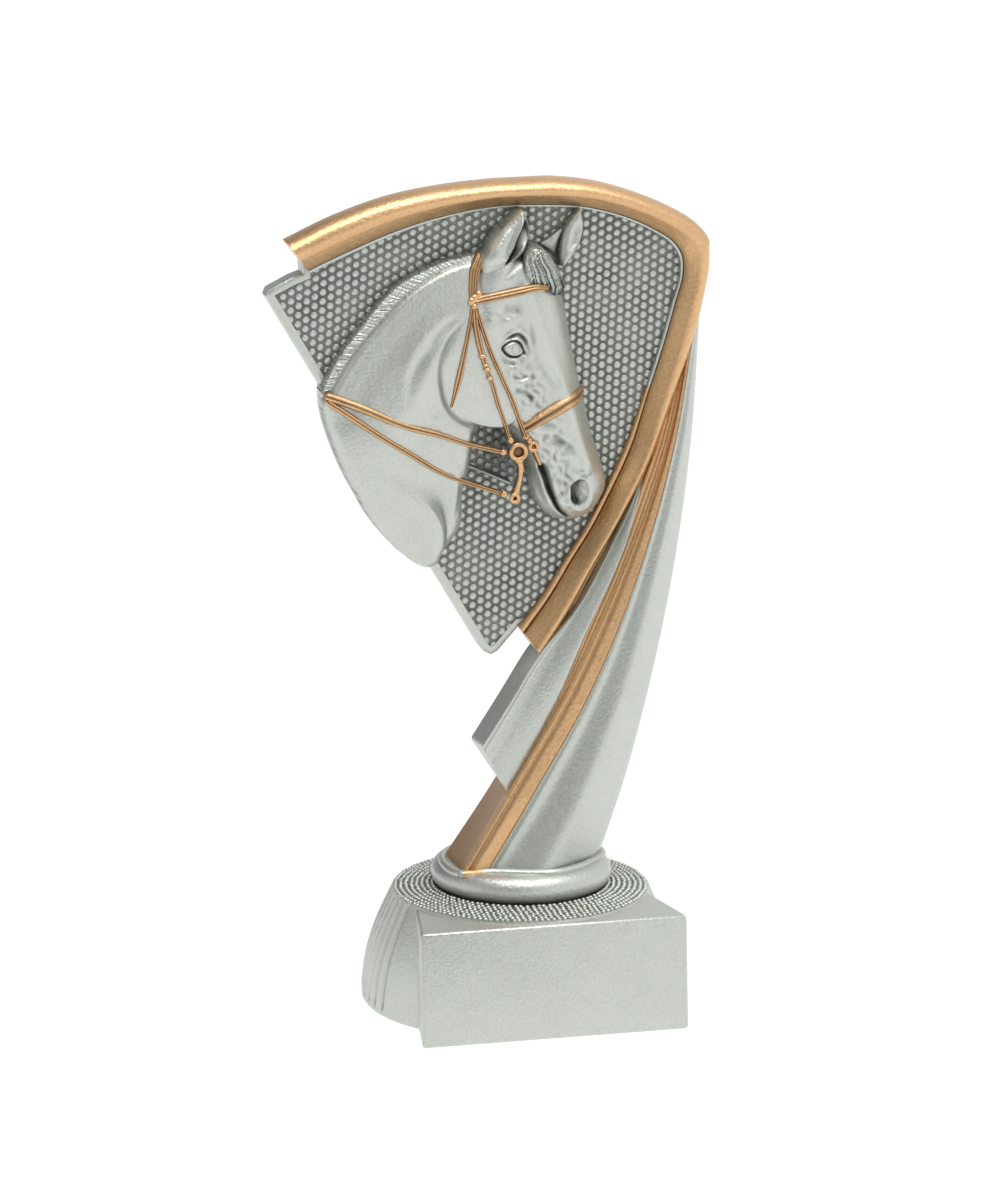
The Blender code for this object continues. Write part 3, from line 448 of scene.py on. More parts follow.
def disc_height(radius):
    """Height of the domed disc at a distance from its middle."""
    return DISC_EDGE_Z + DISC_CROWN * (SKIRT_TOP_RADIUS - radius) / (SKIRT_TOP_RADIUS - RING_RADIUS + 3.0)


def make_disc():
    """Ground of the disc, darkened under the beads by wash and by painted shade that deepens towards the ring.
    """
    profile = [(RING_RADIUS - 3.0, DISC_EDGE_Z - 1.5), (SKIRT_TOP_RADIUS - 0.05, DISC_EDGE_Z - 1.5),
               (SKIRT_TOP_RADIUS - 0.05, DISC_EDGE_Z - 0.1), (SKIRT_TOP_RADIUS - 0.3, DISC_EDGE_Z),
               (RING_RADIUS - 3.0, DISC_MIDDLE_Z)]
    rings = [circle(radius, 0.0, -SKIRT_TOP_FORWARD, height, 160) for radius, height in profile]
    bm = loft(rings, np.repeat([[0.0], [0.0], [0.1], [0.6], [0.85]], 160, axis=1))
    return finish_piece("disc_ground", bm, "silver_paint")


def strew(seed_bm, count):
    """Many copies of a small mesh in one mesh, and a list with the vertices of each copy."""
    seed = bpy.data.meshes.new("seed")
    seed_bm.to_mesh(seed)
    seed_bm.free()
    bm = bmesh.new()
    for number in range(count):
        bm.from_mesh(seed)
    each = len(seed.vertices)
    bpy.data.meshes.remove(seed)
    bm.verts.ensure_lookup_table()
    return bm, [bm.verts[number * each:(number + 1) * each] for number in range(count)]


def make_beads():
    """Rings of beads from the roll out to the edge of the disc."""
    places = []
    hand = np.random.RandomState(5)
    for row, radius in enumerate(np.linspace(BEAD_FIRST_ROW, BEAD_LAST_ROW, BEAD_ROWS)):
        count = int(round(math.tau * radius / BEAD_PITCH))
        for number in range(count):
            off_row = hand.uniform(-BEAD_OFF_ROW, BEAD_OFF_ROW)
            off_place = hand.uniform(-BEAD_OFF_PLACE, BEAD_OFF_PLACE)
            places.append((radius + off_row, math.tau * (number + 0.5 * row + off_place) / count))
    seed = start_piece()
    bmesh.ops.create_uvsphere(seed, u_segments=9, v_segments=6, radius=BEAD_RADIUS)
    bmesh.ops.scale(seed, verts=seed.verts, vec=BEAD_SHAPE)
    bm, beads = strew(seed, len(places))
    layer = wash_and_shade_layer(bm)
    for (radius, angle), bead in zip(places, beads):
        cosine, sine = math.cos(angle), math.sin(angle)
        # painted shade on the beads: their low sides are darkened, and more so in the rows next to the ring
        wash_and_ring_shade = 0.25 + 0.75 * (1.0 - ramp(radius, RING_RADIUS + 0.5, BEAD_LAST_ROW - 1.0))
        for vert in bead:
            x, y, z = vert.co
            vert[layer] = float(np.clip((0.4 - z / BEAD_RADIUS) * 1.1 * wash_and_ring_shade, 0.0, 1.0))
            vert.co = (radius * cosine + x * cosine - y * sine, radius * sine + x * sine + y * cosine
                       - SKIRT_TOP_FORWARD, disc_height(radius) + 0.05 + z)
    print(len(places), "beads")
    return finish_piece("disc_beads", bm, "silver_paint", 80.0)


make_disc()
make_beads()


# %% Ring under the column
def make_ring():
    """Rounded roll with a shallow cove inside its top, and painted shade on its underside."""
    half = RING_HEIGHT / 2.0 + 0.3
    middle_z = RING_TOP_Z - half
    bm = start_piece()
    layer = wash_and_shade_layer(bm)
    points = [(RING_RADIUS - half - 3.5, middle_z - half)]
    for angle in np.radians(np.linspace(-90.0, 84.0, 30)):
        points.append((RING_RADIUS - half + half * math.cos(angle), middle_z + half * math.sin(angle)))
    for inward, drop in ((0.5, 0.12), (1.0, 0.3), (1.5, 0.38), (2.0, 0.3), (2.6, 0.15), (3.5, 0.15)):
        points.append((RING_RADIUS - half - inward, RING_TOP_Z - drop))
    verts = [bm.verts.new((radius, 0.0, height)) for radius, height in points]
    edges = [bm.edges.new(pair) for pair in zip(verts[:-1], verts[1:])]
    bmesh.ops.spin(bm, geom=verts + edges, cent=(0, 0, 0), axis=(0, 0, 1), steps=150, angle=math.tau,
                   use_merge=True)
    bmesh.ops.holes_fill(bm, edges=[edge for edge in bm.edges if edge.is_boundary], sides=0)
    # painted shade: the lower half of the roll darkens towards its underside
    for vert in bm.verts:
        vert[layer] = float(0.85 * (1.0 - ramp(vert.co.z, middle_z - half, middle_z - 0.1 * half)))
    bmesh.ops.translate(bm, verts=bm.verts, vec=(*RING_CENTRE, 0.0))
    return finish_piece("column_ring", bm, "silver_paint", 50.0)


make_ring()

# %% [markdown]
# ## The column and its gold rib
# The column leans to the right as it rises and narrows. Eight lines run up it, and at every height
# they are joined into one section: a flat facet on the left, the rib, a flute, a full belly, and a
# plain back. The facet and the rib are gold, the rest silver, so the same section is lofted as two
# pieces that meet along two of the lines.

# %% Lines up the column
COLUMN_LINES = {
    "left_back": [(30, -16.4, 2.8), (48, -3.6, 4.0), (70, 9.2, 4.5), (95, 21.5, 5.0), (122, 31.0, 4.5),
                  (149, 37.6, 2.4)],
    "gold_ridge": [(30, -16.0, -11.6), (48, -5.0, -11.2), (70, 8.3, -11.2), (95, 20.8, -9.6),
                   (122, 31.0, -7.8), (149, 37.2, -5.0)],
    "gold_edge": [(30, -10.0, -11.5), (48, 0.5, -12.5), (70, 13.3, -12.3), (95, 24.2, -10.5),
                  (122, 32.5, -8.2), (149, 37.8, -5.2)],
    "flute": [(30, -7.4, -11.0), (48, 4.2, -10.0), (70, 15.8, -9.3), (95, 25.5, -8.1), (122, 33.1, -6.7),
              (149, 38.2, -4.7)],
    "belly": [(30, 4.0, -15.3), (48, 13.4, -13.6), (70, 22.2, -11.7), (95, 29.2, -9.5), (122, 35.2, -7.3),
              (149, 38.8, -4.5)],
    "right": [(30, 17.0, -3.0), (48, 23.2, -2.8), (70, 29.1, -2.5), (95, 34.3, -2.0), (122, 37.8, -1.8),
              (149, 39.4, -1.5)],
    "right_back": [(30, 10.0, 11.5), (48, 17.8, 9.2), (70, 25.5, 7.6), (95, 32.0, 6.3), (122, 36.6, 4.9),
                   (149, 39.1, 2.0)],
    "back": [(30, -6.0, 12.5), (48, 5.0, 10.9), (70, 17.0, 9.5), (95, 27.2, 8.2), (122, 34.3, 6.4),
             (149, 38.3, 3.0)],
}
COLUMN_FOOT = 30.0
COLUMN_TOP = 149.0
COLUMN_LEVELS = 170
SMOOTH_LINES = {name: smooth_path(points, pieces=12) for name, points in COLUMN_LINES.items()}


def at_height(name, height):
    """Where a line of the column is at a height."""
    line = SMOOTH_LINES[name]
    return np.array([np.interp(height, line[:, 0], line[:, axis]) for axis in (1, 2)])


def make_column_side(name, section, slot, sharp_deg):
    """Loft one side of the column from the sections at all its levels."""
    sections = [section(height) for height in np.linspace(COLUMN_FOOT, COLUMN_TOP, COLUMN_LEVELS)]
    bm = loft([points for points, wash_and_shade_values in sections], [wash_and_shade_values for points, wash_and_shade_values in sections])
    return finish_piece(name, bm, slot, sharp_deg)


# %% Gold facet and rib
RIB_BEAD = 0.32
RIB_GROOVE = 0.28
THREAD_PITCH = 0.62
THREAD_DEPTH = 0.17


def gold_section(height):
    """Facet with fine threads by the rib, then the rib's bead, groove and flat band, with their wash, and
    painted shade on the flat of the facet.
    """
    back, ridge, edge = (at_height(name, height) for name in ("left_back", "gold_ridge", "gold_edge"))
    facet, band = ridge - back, edge - ridge
    depth, width = np.linalg.norm(facet), np.linalg.norm(band)
    out_left = np.array([facet[1], -facet[0]]) / depth
    out_front = np.array([band[1], -band[0]]) / width
    points, wash_and_shade_values = [], []
    for share in np.concatenate([np.linspace(0.0, 0.75, 6, endpoint=False), np.linspace(0.75, 1.0, 34)]):
        off_rib = (1.0 - share) * depth
        threads = ramp(off_rib, 0.15, 0.4) * (1.0 - ramp(off_rib, 2.0, 2.4)) * ramp(height, 46.0, 52.0)
        dent = THREAD_DEPTH * threads * (0.5 - 0.5 * math.cos(math.tau * off_rib / THREAD_PITCH))
        points.append(back + facet * share - out_left * dent)
        # the flat of the facet away from the threads gets 0.2 more: painted shade, since it faces the dark left
        wash_and_shade_values.append(min(0.5, 2.0 * dent) + 0.2 * (off_rib > 2.4))
    for share in np.linspace(0.0, 1.0, 40)[1:]:
        along = share * width
        bead = RIB_BEAD * bell(along - 0.12 * width, 0.085 * width)
        groove = RIB_GROOVE * bell(along - 0.3 * width, 0.1 * width)
        rim = 0.14 * bell(along - 0.955 * width, 0.025 * width)
        points.append(ridge + band * share + out_front * (bead - groove - rim))
        wash_and_shade_values.append(min(0.6, 0.4 * groove / RIB_GROOVE + 2.5 * rim))
    heart = (back + edge) / 2.0
    points.append(heart + np.array([1.2, 1.2]))
    wash_and_shade_values.append(0.0)
    return np.column_stack([points, np.full(len(points), height)]), wash_and_shade_values


make_column_side("gold_facet_and_rib", gold_section, "gold_paint", 45.0)


# %% Silver column
SWELL = 0.075
SWELL_SHARE = 0.52
SMOOTHING_TURNS = 60


def silver_section(height):
    """From the rib's edge over the flute and the belly round the back to the facet."""
    names = ("gold_edge", "flute", "belly", "right", "right_back", "back", "left_back")
    corners = [at_height(name, height) for name in names]
    flute, belly = corners[1], corners[2]
    swell = flute + SWELL_SHARE * (belly - flute) + np.array([0.0, -SWELL * np.linalg.norm(belly - flute)])
    curve = smooth_path(corners[:2] + [swell] + corners[2:], pieces=14)
    for turn in range(SMOOTHING_TURNS):
        curve[9:51] = (curve[8:50] + 2.0 * curve[9:51] + curve[10:52]) / 4.0
    off_rib = np.concatenate([[0.0], np.cumsum(np.linalg.norm(np.diff(curve, axis=0), axis=1))])
    curve[:, 1] -= 0.22 * bell(off_rib - 0.35, 0.35)
    wash_and_shade_values = 0.12 * bell(off_rib, 0.1)
    return np.column_stack([curve, np.full(len(curve), height)]), wash_and_shade_values


make_column_side("silver_column", silver_section, "silver_paint", 50.0)

# %% [markdown]
# ## The lip at the column's foot
# Where the column stands in the ring a thin rounded lip follows its outline, and the gold paint of
# the rib laps onto it. It is a round cord swept along the foot's section, in two stretches.

# %% Foot lip
LIP_RADIUS = 1.0
LIP_OUT = 0.4
LIP_DROP = 0.45
GILDED_STRETCH = slice(3, 19)
PAINT_THICKNESS = 0.03


def foot_line():
    """Section of the column at the ring, pushed out a little."""
    names = ("gold_ridge", "gold_edge", "belly", "right", "right_back", "back", "left_back")
    corners = [at_height(name, RING_TOP_Z) for name in names]
    line = smooth_path(corners, closed=True, pieces=24)
    middle = line.mean(axis=0)
    return line + (line - middle) / np.linalg.norm(line - middle, axis=1)[:, None] * LIP_OUT


def make_lip(name, line, radius, slot):
    """Round cord along a stretch of the foot line."""
    along = np.gradient(line, axis=0)
    along /= np.linalg.norm(along, axis=1)[:, None]
    out = np.column_stack([along[:, 1], -along[:, 0]])
    rings = []
    for place, side in zip(line, out):
        ring = []
        for angle in np.linspace(0.0, math.tau, 14, endpoint=False):
            shift = side * radius * math.cos(angle)
            ring.append((place[0] + shift[0], place[1] + shift[1],
                         RING_TOP_Z - LIP_DROP + radius * math.sin(angle)))
        rings.append(ring)
    return finish_piece(name, loft(rings), slot, 60.0)


foot = foot_line()
make_lip("foot_lip", np.vstack([foot, foot[:1]]), LIP_RADIUS, "silver_paint")
make_lip("foot_lip_gilding", foot[GILDED_STRETCH], LIP_RADIUS + PAINT_THICKNESS, "gold_paint")

# %% [markdown]
# ## The wing
# A wing lies against the column on the left and ends in a cut foot. Its side is flat, its front
# starts with a crease, dips, and swells towards the rib. One section is stretched between a left
# and a right edge line that close in on each other as they rise, and its top sinks out of sight.
# Three fine gold threads fill the corner between the wing and the rib, and run on above the wing.

# %% Wing
WING_LEFT = [(-9.6, 58.8), (-3.4, 68.3), (2.6, 77.6), (11.2, 87.8), (19.6, 102.8), (26.6, 117.0),
             (29.9, 123.9)]
WING_RIGHT = [(-4.0, 48.2), (1.6, 58.2), (6.7, 67.8), (12.9, 82.5), (19.3, 96.0), (25.2, 111.6),
              (29.8, 123.5)]
WING_FRONT = [(0.0, -8.9), (0.04, -9.0), (0.13, -8.1), (0.3, -8.5), (0.5, -9.4), (0.72, -10.1), (0.88, -10.3),
              (1.0, -9.9)]
WING_FACE_Y = -9.3
WING_BACK_Y = -1.5
WING_FOOT_CUT = 0.7


def make_wing():
    """Wing whose hollow deepens above its foot, and whose top sinks behind the threads."""
    left = smooth_path(WING_LEFT, pieces=14)
    right = smooth_path(WING_RIGHT, pieces=14)
    front = smooth_path(WING_FRONT, pieces=6)
    sections = []
    for (lx, lz), (rx, rz) in zip(left, right):
        ring = []
        shape = 0.5 + 0.5 * ramp(lz, 60.0, 84.0)
        sinking = 1.0 - 0.45 * ramp(lz, 106.0, 123.0)
        for share, y in front:
            depth = (WING_FACE_Y + (y - WING_FACE_Y) * shape) * sinking
            ring.append((lx + (rx - lx) * share, depth, lz + (rz - lz) * share))
        ring.append((rx + 4.0, 1.0, rz - 1.0))
        for share in np.linspace(0.0, 1.0, 8, endpoint=False):
            ring.append((lx - 0.7 * (1.0 - share), WING_BACK_Y + (ring[0][1] - WING_BACK_Y) * share, lz))
        sections.append(ring)
    sections = np.array(sections)
    foot_way = sections[0] - sections[4]
    foot_way /= np.linalg.norm(foot_way, axis=1)[:, None]
    middle = sections[0].mean(axis=0)
    rounded = []
    for angle in np.radians((0.0, 22.0, 45.0, 68.0)):
        shrunk = middle + (sections[0] - middle) * (1.0 - 0.10 * (1.0 - math.sin(angle)))
        rounded.append(shrunk + foot_way * WING_FOOT_CUT * math.cos(angle))
    return finish_piece("wing", loft(np.concatenate([rounded, sections])), "silver_paint", 35.0)


make_wing()

# %% Gold threads
THREADS = 3
THREAD_HEIGHT = 0.3
THREADS_FOOT = 50.0
THREADS_TOP = 146.0


def make_threads():
    """Fine gold ridges in the corner between the wing and the rib."""
    wing_edge = smooth_path(WING_RIGHT + [(36.6, 148.0)], pieces=10)
    shares = np.linspace(0.0, 1.0, 33)
    ridges = np.sqrt(np.abs(np.sin(math.pi * THREADS * shares)))
    rings, wash_and_shade_values = [], []
    for height in np.linspace(THREADS_FOOT, THREADS_TOP, 120):
        left = np.interp(height, wing_edge[:, 1], wing_edge[:, 0]) - 0.3
        right, front = at_height("gold_ridge", height)
        top = front + 1.4 - 0.9 * shares - THREAD_HEIGHT * ridges
        across = left + (right + 0.35 - left) * shares
        ring = [(x, y, height) for x, y in zip(across, top)]
        ring += [(across[-1], front + 4.0, height), (left, front + 4.0, height)]
        rings.append(ring)
        wash_and_shade_values.append(np.concatenate([0.4 * (1.0 - ridges), [0.0, 0.0]]))
    return finish_piece("gold_threads", loft(rings, wash_and_shade_values), "gold_paint", 50.0)


make_threads()

# %% [markdown]
# ## The frame
# A gold moulding runs over the top and down the right side. Its profile is one rounded roll that
# falls towards the panel, and a thin lining bead follows it there. The lining is left silver over
# the top and gilt on the lower limb, where the roll also stands higher and gets a plain outer edge.
# Between matching points on the outer and the inner edge the same profile is stretched to the width.

# %% Frame
PANEL_FACE = 2.9
PANEL_THICKNESS = 4.0
PANEL_BACK_Y = PANEL_THICKNESS - PANEL_FACE
FRAME_CREST = 4.4
FRAME_OUTER = [(-51.1, 169.2), (-40.5, 173.8), (-28.9, 177.4), (-17.5, 179.2), (-5.5, 180.0), (5.5, 180.0),
               (15.5, 178.6), (24.5, 175.8), (32.5, 172.2), (38.0, 168.7), (41.0, 164.8), (41.0, 160.0),
               (39.6, 152.0), (37.0, 142.0), (33.3, 131.0), (29.2, 121.0), (24.6, 111.6), (20.0, 103.3),
               (15.2, 95.2), (10.6, 87.0), (3.9, 76.3)]
FRAME_INNER = [(-45.6, 162.0), (-37.0, 165.6), (-27.0, 169.4), (-16.3, 172.3), (-5.2, 173.8), (4.4, 173.6),
               (13.3, 172.8), (21.6, 170.5), (28.2, 167.4), (32.6, 164.3), (34.4, 161.2), (34.5, 157.2),
               (32.9, 151.6), (30.3, 142.6), (27.0, 132.5), (23.3, 122.2), (18.6, 112.5), (14.0, 103.8),
               (9.6, 97.2), (4.9, 89.8), (-0.6, 82.8)]
FRAME_PROFILE = [(0.0, 0.3), (0.01, 1.2), (0.05, 2.3), (0.12, 0.76 * FRAME_CREST), (0.22, 0.93 * FRAME_CREST),
                 (0.33, FRAME_CREST), (0.45, 0.97 * FRAME_CREST), (0.57, 0.84 * FRAME_CREST),
                 (0.69, 0.66 * FRAME_CREST), (0.8, 0.48 * FRAME_CREST), (0.87, 0.32 * FRAME_CREST),
                 (0.895, 0.12 * FRAME_CREST), (0.9, 0.1)]
LINING_PROFILE = [(0.89, -0.4), (0.895, 0.6), (0.92, 1.05), (0.96, 1.0), (0.99, 0.7), (1.0, 0.1), (1.0, -0.4)]
FRAME_BACK = [(0.95, -1.2), (0.9, -3.2), (0.5, -3.6), (0.1, -3.4), (0.0, -1.5)]
LINING_TURNS_GOLD = 112
LOW_LIMB_TOP = 132.0
LOW_LIMB_BLEND = 18.0
LOW_LIMB_SWELL = 0.3
LOW_LIMB_EDGE = 3.4
LOW_LIMB_EDGE_SHARE = 0.14
LOW_LIMB_BEAD = 0.12
OUTER_LINE = np.minimum(smooth_path(FRAME_OUTER, pieces=8), np.max(FRAME_OUTER, axis=0))
INNER_LINE = smooth_path(FRAME_INNER, pieces=8)
ROLL = smooth_path(FRAME_PROFILE, pieces=5)
LINING = smooth_path(LINING_PROFILE, pieces=3)


def roll_section(low):
    """Shares and heights of the roll, taller and with a plain outer edge on the lower limb."""
    shares, heights = np.vstack([ROLL, FRAME_BACK]).T
    heights[heights > 0.3] *= 1.0 + LOW_LIMB_SWELL * low
    edge = low * LOW_LIMB_EDGE * (ROLL[:, 0] < LOW_LIMB_EDGE_SHARE)
    heights[:len(ROLL)] = np.maximum(heights[:len(ROLL)], edge)
    return shares * (1.0 - LOW_LIMB_BEAD * low), heights


def lining_section(low):
    """Shares and heights of the thin bead, twice as wide on the lower limb."""
    return 1.0 - (1.0 - LINING[:, 0]) * (1.0 + low), LINING[:, 1] * (1.0 + 0.5 * low)


def make_moulding(name, section, darkening, slot, first=0, last=None):
    """Carry a section along a stretch of the frame, from its outer to its inner edge."""
    rings = []
    for (ox, oz), (ix, iz) in zip(OUTER_LINE[first:last], INNER_LINE[first:last]):
        low = float(ramp(LOW_LIMB_TOP - oz, 0.0, LOW_LIMB_BLEND)) * (ox > 0)
        rings.append([(ox + (ix - ox) * share, -PANEL_FACE - height, oz + (iz - oz) * share)
                      for share, height in zip(*section(low))])
    return finish_piece(name, loft(rings, [darkening] * len(rings)), slot, 45.0)


# dark wash in the crease at the lining, and a faint band of painted shade over the middle of the roll
roll_wash_and_shade = 0.8 * bell(ROLL[:, 0] - 0.9, 0.02) + 0.12 * bell(ROLL[:, 0] - 0.5, 0.1)
roll_wash_and_shade = np.concatenate([roll_wash_and_shade, np.zeros(len(FRAME_BACK))])
lining_grime = 0.7 * bell(LINING[:, 0] - 0.893, 0.012) + 0.4 * bell(LINING[:, 0] - 1.0, 0.012)
make_moulding("gold_frame", roll_section, roll_wash_and_shade, "gold_paint")
make_moulding("frame_lining", lining_section, lining_grime, "silver_paint", last=LINING_TURNS_GOLD)
make_moulding("frame_lining_gilt", lining_section, lining_grime, "gold_paint", first=LINING_TURNS_GOLD - 1)

# %% [markdown]
# ## The panel and its studs
# The panel behind the horse is sunk inside a plain border and covered with flat round studs in a
# honeycomb, with the dark wash between them. The panel is one outline, inset and pushed in. A stud
# is a short bevelled disc, and studs whose middle is too near the outline are left out.

# %% Panel
PANEL_OUTLINE = [(-47.2, 162.0), (-49.5, 161.2), (-54.4, 158.8), (-55.0, 157.4), (-8.8, 78.6), (-7.9, 77.4),
                 (-6.3, 76.7), (-4.9, 77.4), (-0.2, 82.6), (3.0, 83.2), (11.4, 95.2), (20.6, 111.4),
                 (30.2, 133.0), (36.6, 153.0), (38.0, 161.0), (34.6, 167.0), (22.0, 173.4), (5.0, 177.0),
                 (-17.0, 175.8), (-37.4, 169.6), (-47.4, 165.0)]
PANEL_CHAMFER = 0.9
BORDER_WIDTH = 0.75
GROUND_DEPTH = 0.45
GROUND_WASH = 0.72


def make_panel():
    """Panel with a chamfered front, a plain border and a sunk ground."""
    bm = start_piece()
    layer = wash_and_shade_layer(bm)
    verts = [bm.verts.new((x, PANEL_BACK_Y, z)) for x, z in PANEL_OUTLINE]
    back = bm.faces.new(verts)
    moved = bmesh.ops.extrude_face_region(bm, geom=[back])["geom"]
    front = [item for item in moved if isinstance(item, bmesh.types.BMVert)]
    bmesh.ops.translate(bm, verts=front, vec=(0.0, -PANEL_THICKNESS, 0.0))
    rim = [edge for edge in bm.edges if all(vert.co.y < -PANEL_FACE + 0.1 for vert in edge.verts)]
    bmesh.ops.bevel(bm, geom=rim, offset=PANEL_CHAMFER, segments=4, profile=0.5, affect="EDGES", material=-1)
    bmesh.ops.recalc_face_normals(bm, faces=bm.faces)
    ground = max(bm.faces, key=lambda face: (face.normal.y < -0.99) * face.calc_area())
    bmesh.ops.inset_region(bm, faces=[ground], thickness=BORDER_WIDTH, use_even_offset=True)
    bmesh.ops.inset_region(bm, faces=[ground], thickness=0.12, depth=-GROUND_DEPTH, use_even_offset=True)
    for vert in ground.verts:
        vert[layer] = GROUND_WASH
    return finish_piece("panel", bm, "silver_paint", 30.0)


make_panel()

# %% Studs
STUD_PITCH = 1.97
STUD_TURN_DEG = -3.0
STUD_START = (11.5, 148.9)
STUD_RADIUS = 0.80
STUD_TOP = 0.06
STUD_SIDES = 14


def read_path(x, z, path):
    """Distance to a path, the share of its length there, and the side: 1 on the right of travel."""
    distance = np.full(x.shape, 1e3)
    share = np.zeros(x.shape)
    side = np.zeros(x.shape)
    lengths = np.linalg.norm(np.diff(path, axis=0), axis=1)
    run = 0.0
    for start, end, length in zip(path[:-1], path[1:], lengths):
        if length > 1e-9:
            ux, uz = (end - start) / length
            px = x - start[0]
            pz = z - start[1]
            t = np.clip(px * ux + pz * uz, 0.0, length)
            gap = np.hypot(px - t * ux, pz - t * uz)
            nearer = gap < distance
            distance = np.where(nearer, gap, distance)
            share = np.where(nearer, (run + t) / lengths.sum(), share)
            side = np.where(nearer, np.sign(px * uz - pz * ux), side)
        run += length
    return distance, share, side


def depth_in_loop(x, z, loop):
    """Distance inside a closed line, negative outside it."""
    ring = np.vstack([loop, loop[:1]])
    distance, share, side = read_path(x, z, ring)
    within = np.zeros(x.shape, bool)
    for (ax, az), (bx, bz) in zip(ring[:-1], ring[1:]):
        if az != bz:
            crosses = (az > z) != (bz > z)
            within ^= crosses & (x < ax + (z - az) * (bx - ax) / (bz - az))
    return np.where(within, distance, -distance)


def stud_places():
    """Honeycomb of places inside the border."""
    turn = math.radians(STUD_TURN_DEG)
    across = np.array([math.cos(turn - math.radians(30.0)), math.sin(turn - math.radians(30.0))]) * STUD_PITCH
    down = np.array([math.sin(turn), -math.cos(turn)]) * STUD_PITCH
    steps = np.arange(-60, 61)
    i, j = (grid.ravel() for grid in np.meshgrid(steps, steps))
    places = np.array(STUD_START) + i[:, None] * across + j[:, None] * down
    depth = depth_in_loop(places[:, 0], places[:, 1], np.array(PANEL_OUTLINE))
    return places[depth > PANEL_CHAMFER + BORDER_WIDTH - 0.2]


STUD_BASE_WASH = 0.7
STUD_RIM = (STUD_RADIUS - 0.04, GROUND_DEPTH - 0.18, 0.22)
STUD_FACE = (STUD_RADIUS - 0.2, GROUND_DEPTH + STUD_TOP - 0.1, 0.04)
# middle and reach of the painted shadow round the bit, on the studs and on the horse
BIT_PAINTED_SHADOW = (-3.5, 121.5)
BIT_PAINTED_SHADOW_REACH = 5.0


def make_studs():
    """Flat round studs with a rounded rim, all copies of one, those near the bit under a painted shadow."""
    seed = start_piece()
    layer = wash_and_shade_layer(seed)
    base = bmesh.ops.create_circle(seed, segments=STUD_SIDES, radius=STUD_RADIUS, cap_ends=True)["verts"]
    top = base[0].link_faces[0]
    for vert in base:
        vert[layer] = STUD_BASE_WASH
    for radius, height, wash_and_shade in (STUD_RIM, STUD_FACE):
        top = bmesh.ops.extrude_discrete_faces(seed, faces=[top])["faces"][0]
        for vert in top.verts:
            flat = Vector((vert.co.x, vert.co.y, 0.0)).normalized() * radius
            vert.co = (flat.x, flat.y, height)
            vert[layer] = wash_and_shade
    places = stud_places()
    bm, studs = strew(seed, len(places))
    layer = wash_and_shade_layer(bm)
    for (x, z), stud in zip(places, studs):
        # painted shadow of the bit on the studs near it
        darkening = 0.75 * math.exp(-(math.hypot(x - BIT_PAINTED_SHADOW[0], z - BIT_PAINTED_SHADOW[1]) / BIT_PAINTED_SHADOW_REACH) ** 2)
        for vert in stud:
            vert[layer] = min(1.0, vert[layer] + darkening)
            across, along, height = vert.co
            vert.co = (x + across, -PANEL_FACE + GROUND_DEPTH + 0.1 - height, z + along)
    print(len(places), "studs")
    return finish_piece("panel_studs", bm, "silver_paint", 80.0)


make_studs()

# %% [markdown]
# ## The horse as a height over the panel
# The horse is a relief, so every point of it has one height over the panel. That makes it a job for
# functions: each muscle, hollow and fold is a small rise or dip that depends on the distance to a
# line. They are added up on a fine grid, like clay in thin layers.

# %% Outline and carving lines of the horse
MANE_EDGE = [(-9.0, 165.3), (-13.0, 164.5), (-16.5, 163.8), (-20.5, 162.4), (-24.8, 160.4), (-28.6, 157.8),
             (-32.6, 153.6), (-36.2, 149.2), (-39.6, 144.9), (-42.2, 140.6), (-43.6, 137.4)]
NECK_BACK = [(-43.7, 135.0), (-43.1, 130.8), (-41.3, 125.0), (-38.8, 118.8), (-36.3, 114.0), (-33.5, 109.0),
             (-30.2, 104.6), (-27.0, 101.2), (-24.3, 99.1), (-21.9, 98.3), (-19.6, 98.8)]
NECK_FRONT = [(-17.6, 100.6), (-16.0, 102.2), (-14.0, 104.8), (-13.2, 107.6), (-13.3, 113.2), (-12.2, 118.7),
              (-11.4, 123.2), (-10.8, 126.6)]
CHIN = [(-8.6, 127.2), (-5.6, 126.8), (-2.6, 125.2), (-0.6, 122.0), (0.6, 119.0), (1.0, 115.6), (2.0, 111.8),
        (3.8, 108.8), (6.2, 107.0), (9.1, 106.4), (12.0, 106.6), (14.2, 107.6), (16.2, 109.6), (17.8, 112.0)]
FACE = [(18.3, 114.2), (17.3, 118.2), (15.4, 124.0), (14.3, 128.0), (13.6, 131.6), (12.8, 134.6),
        (11.5, 140.2), (10.5, 145.4), (9.4, 151.3), (8.3, 156.7), (7.4, 160.2)]
FAR_EAR_EDGE = [(9.4, 162.0), (11.0, 164.0), (12.3, 166.4), (13.1, 169.2), (12.9, 171.6), (12.3, 173.2),
                (10.4, 171.4), (8.9, 169.4), (7.0, 168.0), (5.0, 166.6)]
NEAR_EAR_EDGE = [(3.0, 166.0), (1.2, 166.6), (0.8, 169.4), (0.2, 172.2), (-0.9, 174.2), (-3.0, 172.5),
                 (-4.9, 170.7), (-6.6, 169.2), (-8.0, 167.6)]
CREST = [(-9.8, 163.6), (-14.8, 162.9), (-20.4, 160.5), (-26.0, 156.7), (-32.8, 149.8), (-37.1, 144.9),
         (-41.2, 138.3), (-42.6, 135.8)]
NECK_MUSCLE = [(-12.0, 153.0), (-17.0, 147.5), (-22.0, 141.0), (-26.5, 134.0), (-28.0, 126.0), (-27.0, 120.0)]
UPPER_GROOVE = [(-13.9, 152.8), (-17.4, 151.2), (-20.0, 149.0), (-22.8, 145.5)]
LOWER_GROOVE = [(-15.4, 151.8), (-18.4, 148.7), (-21.3, 146.1), (-23.6, 143.4), (-25.2, 140.5), (-26.0, 137.3),
                (-26.9, 132.4)]
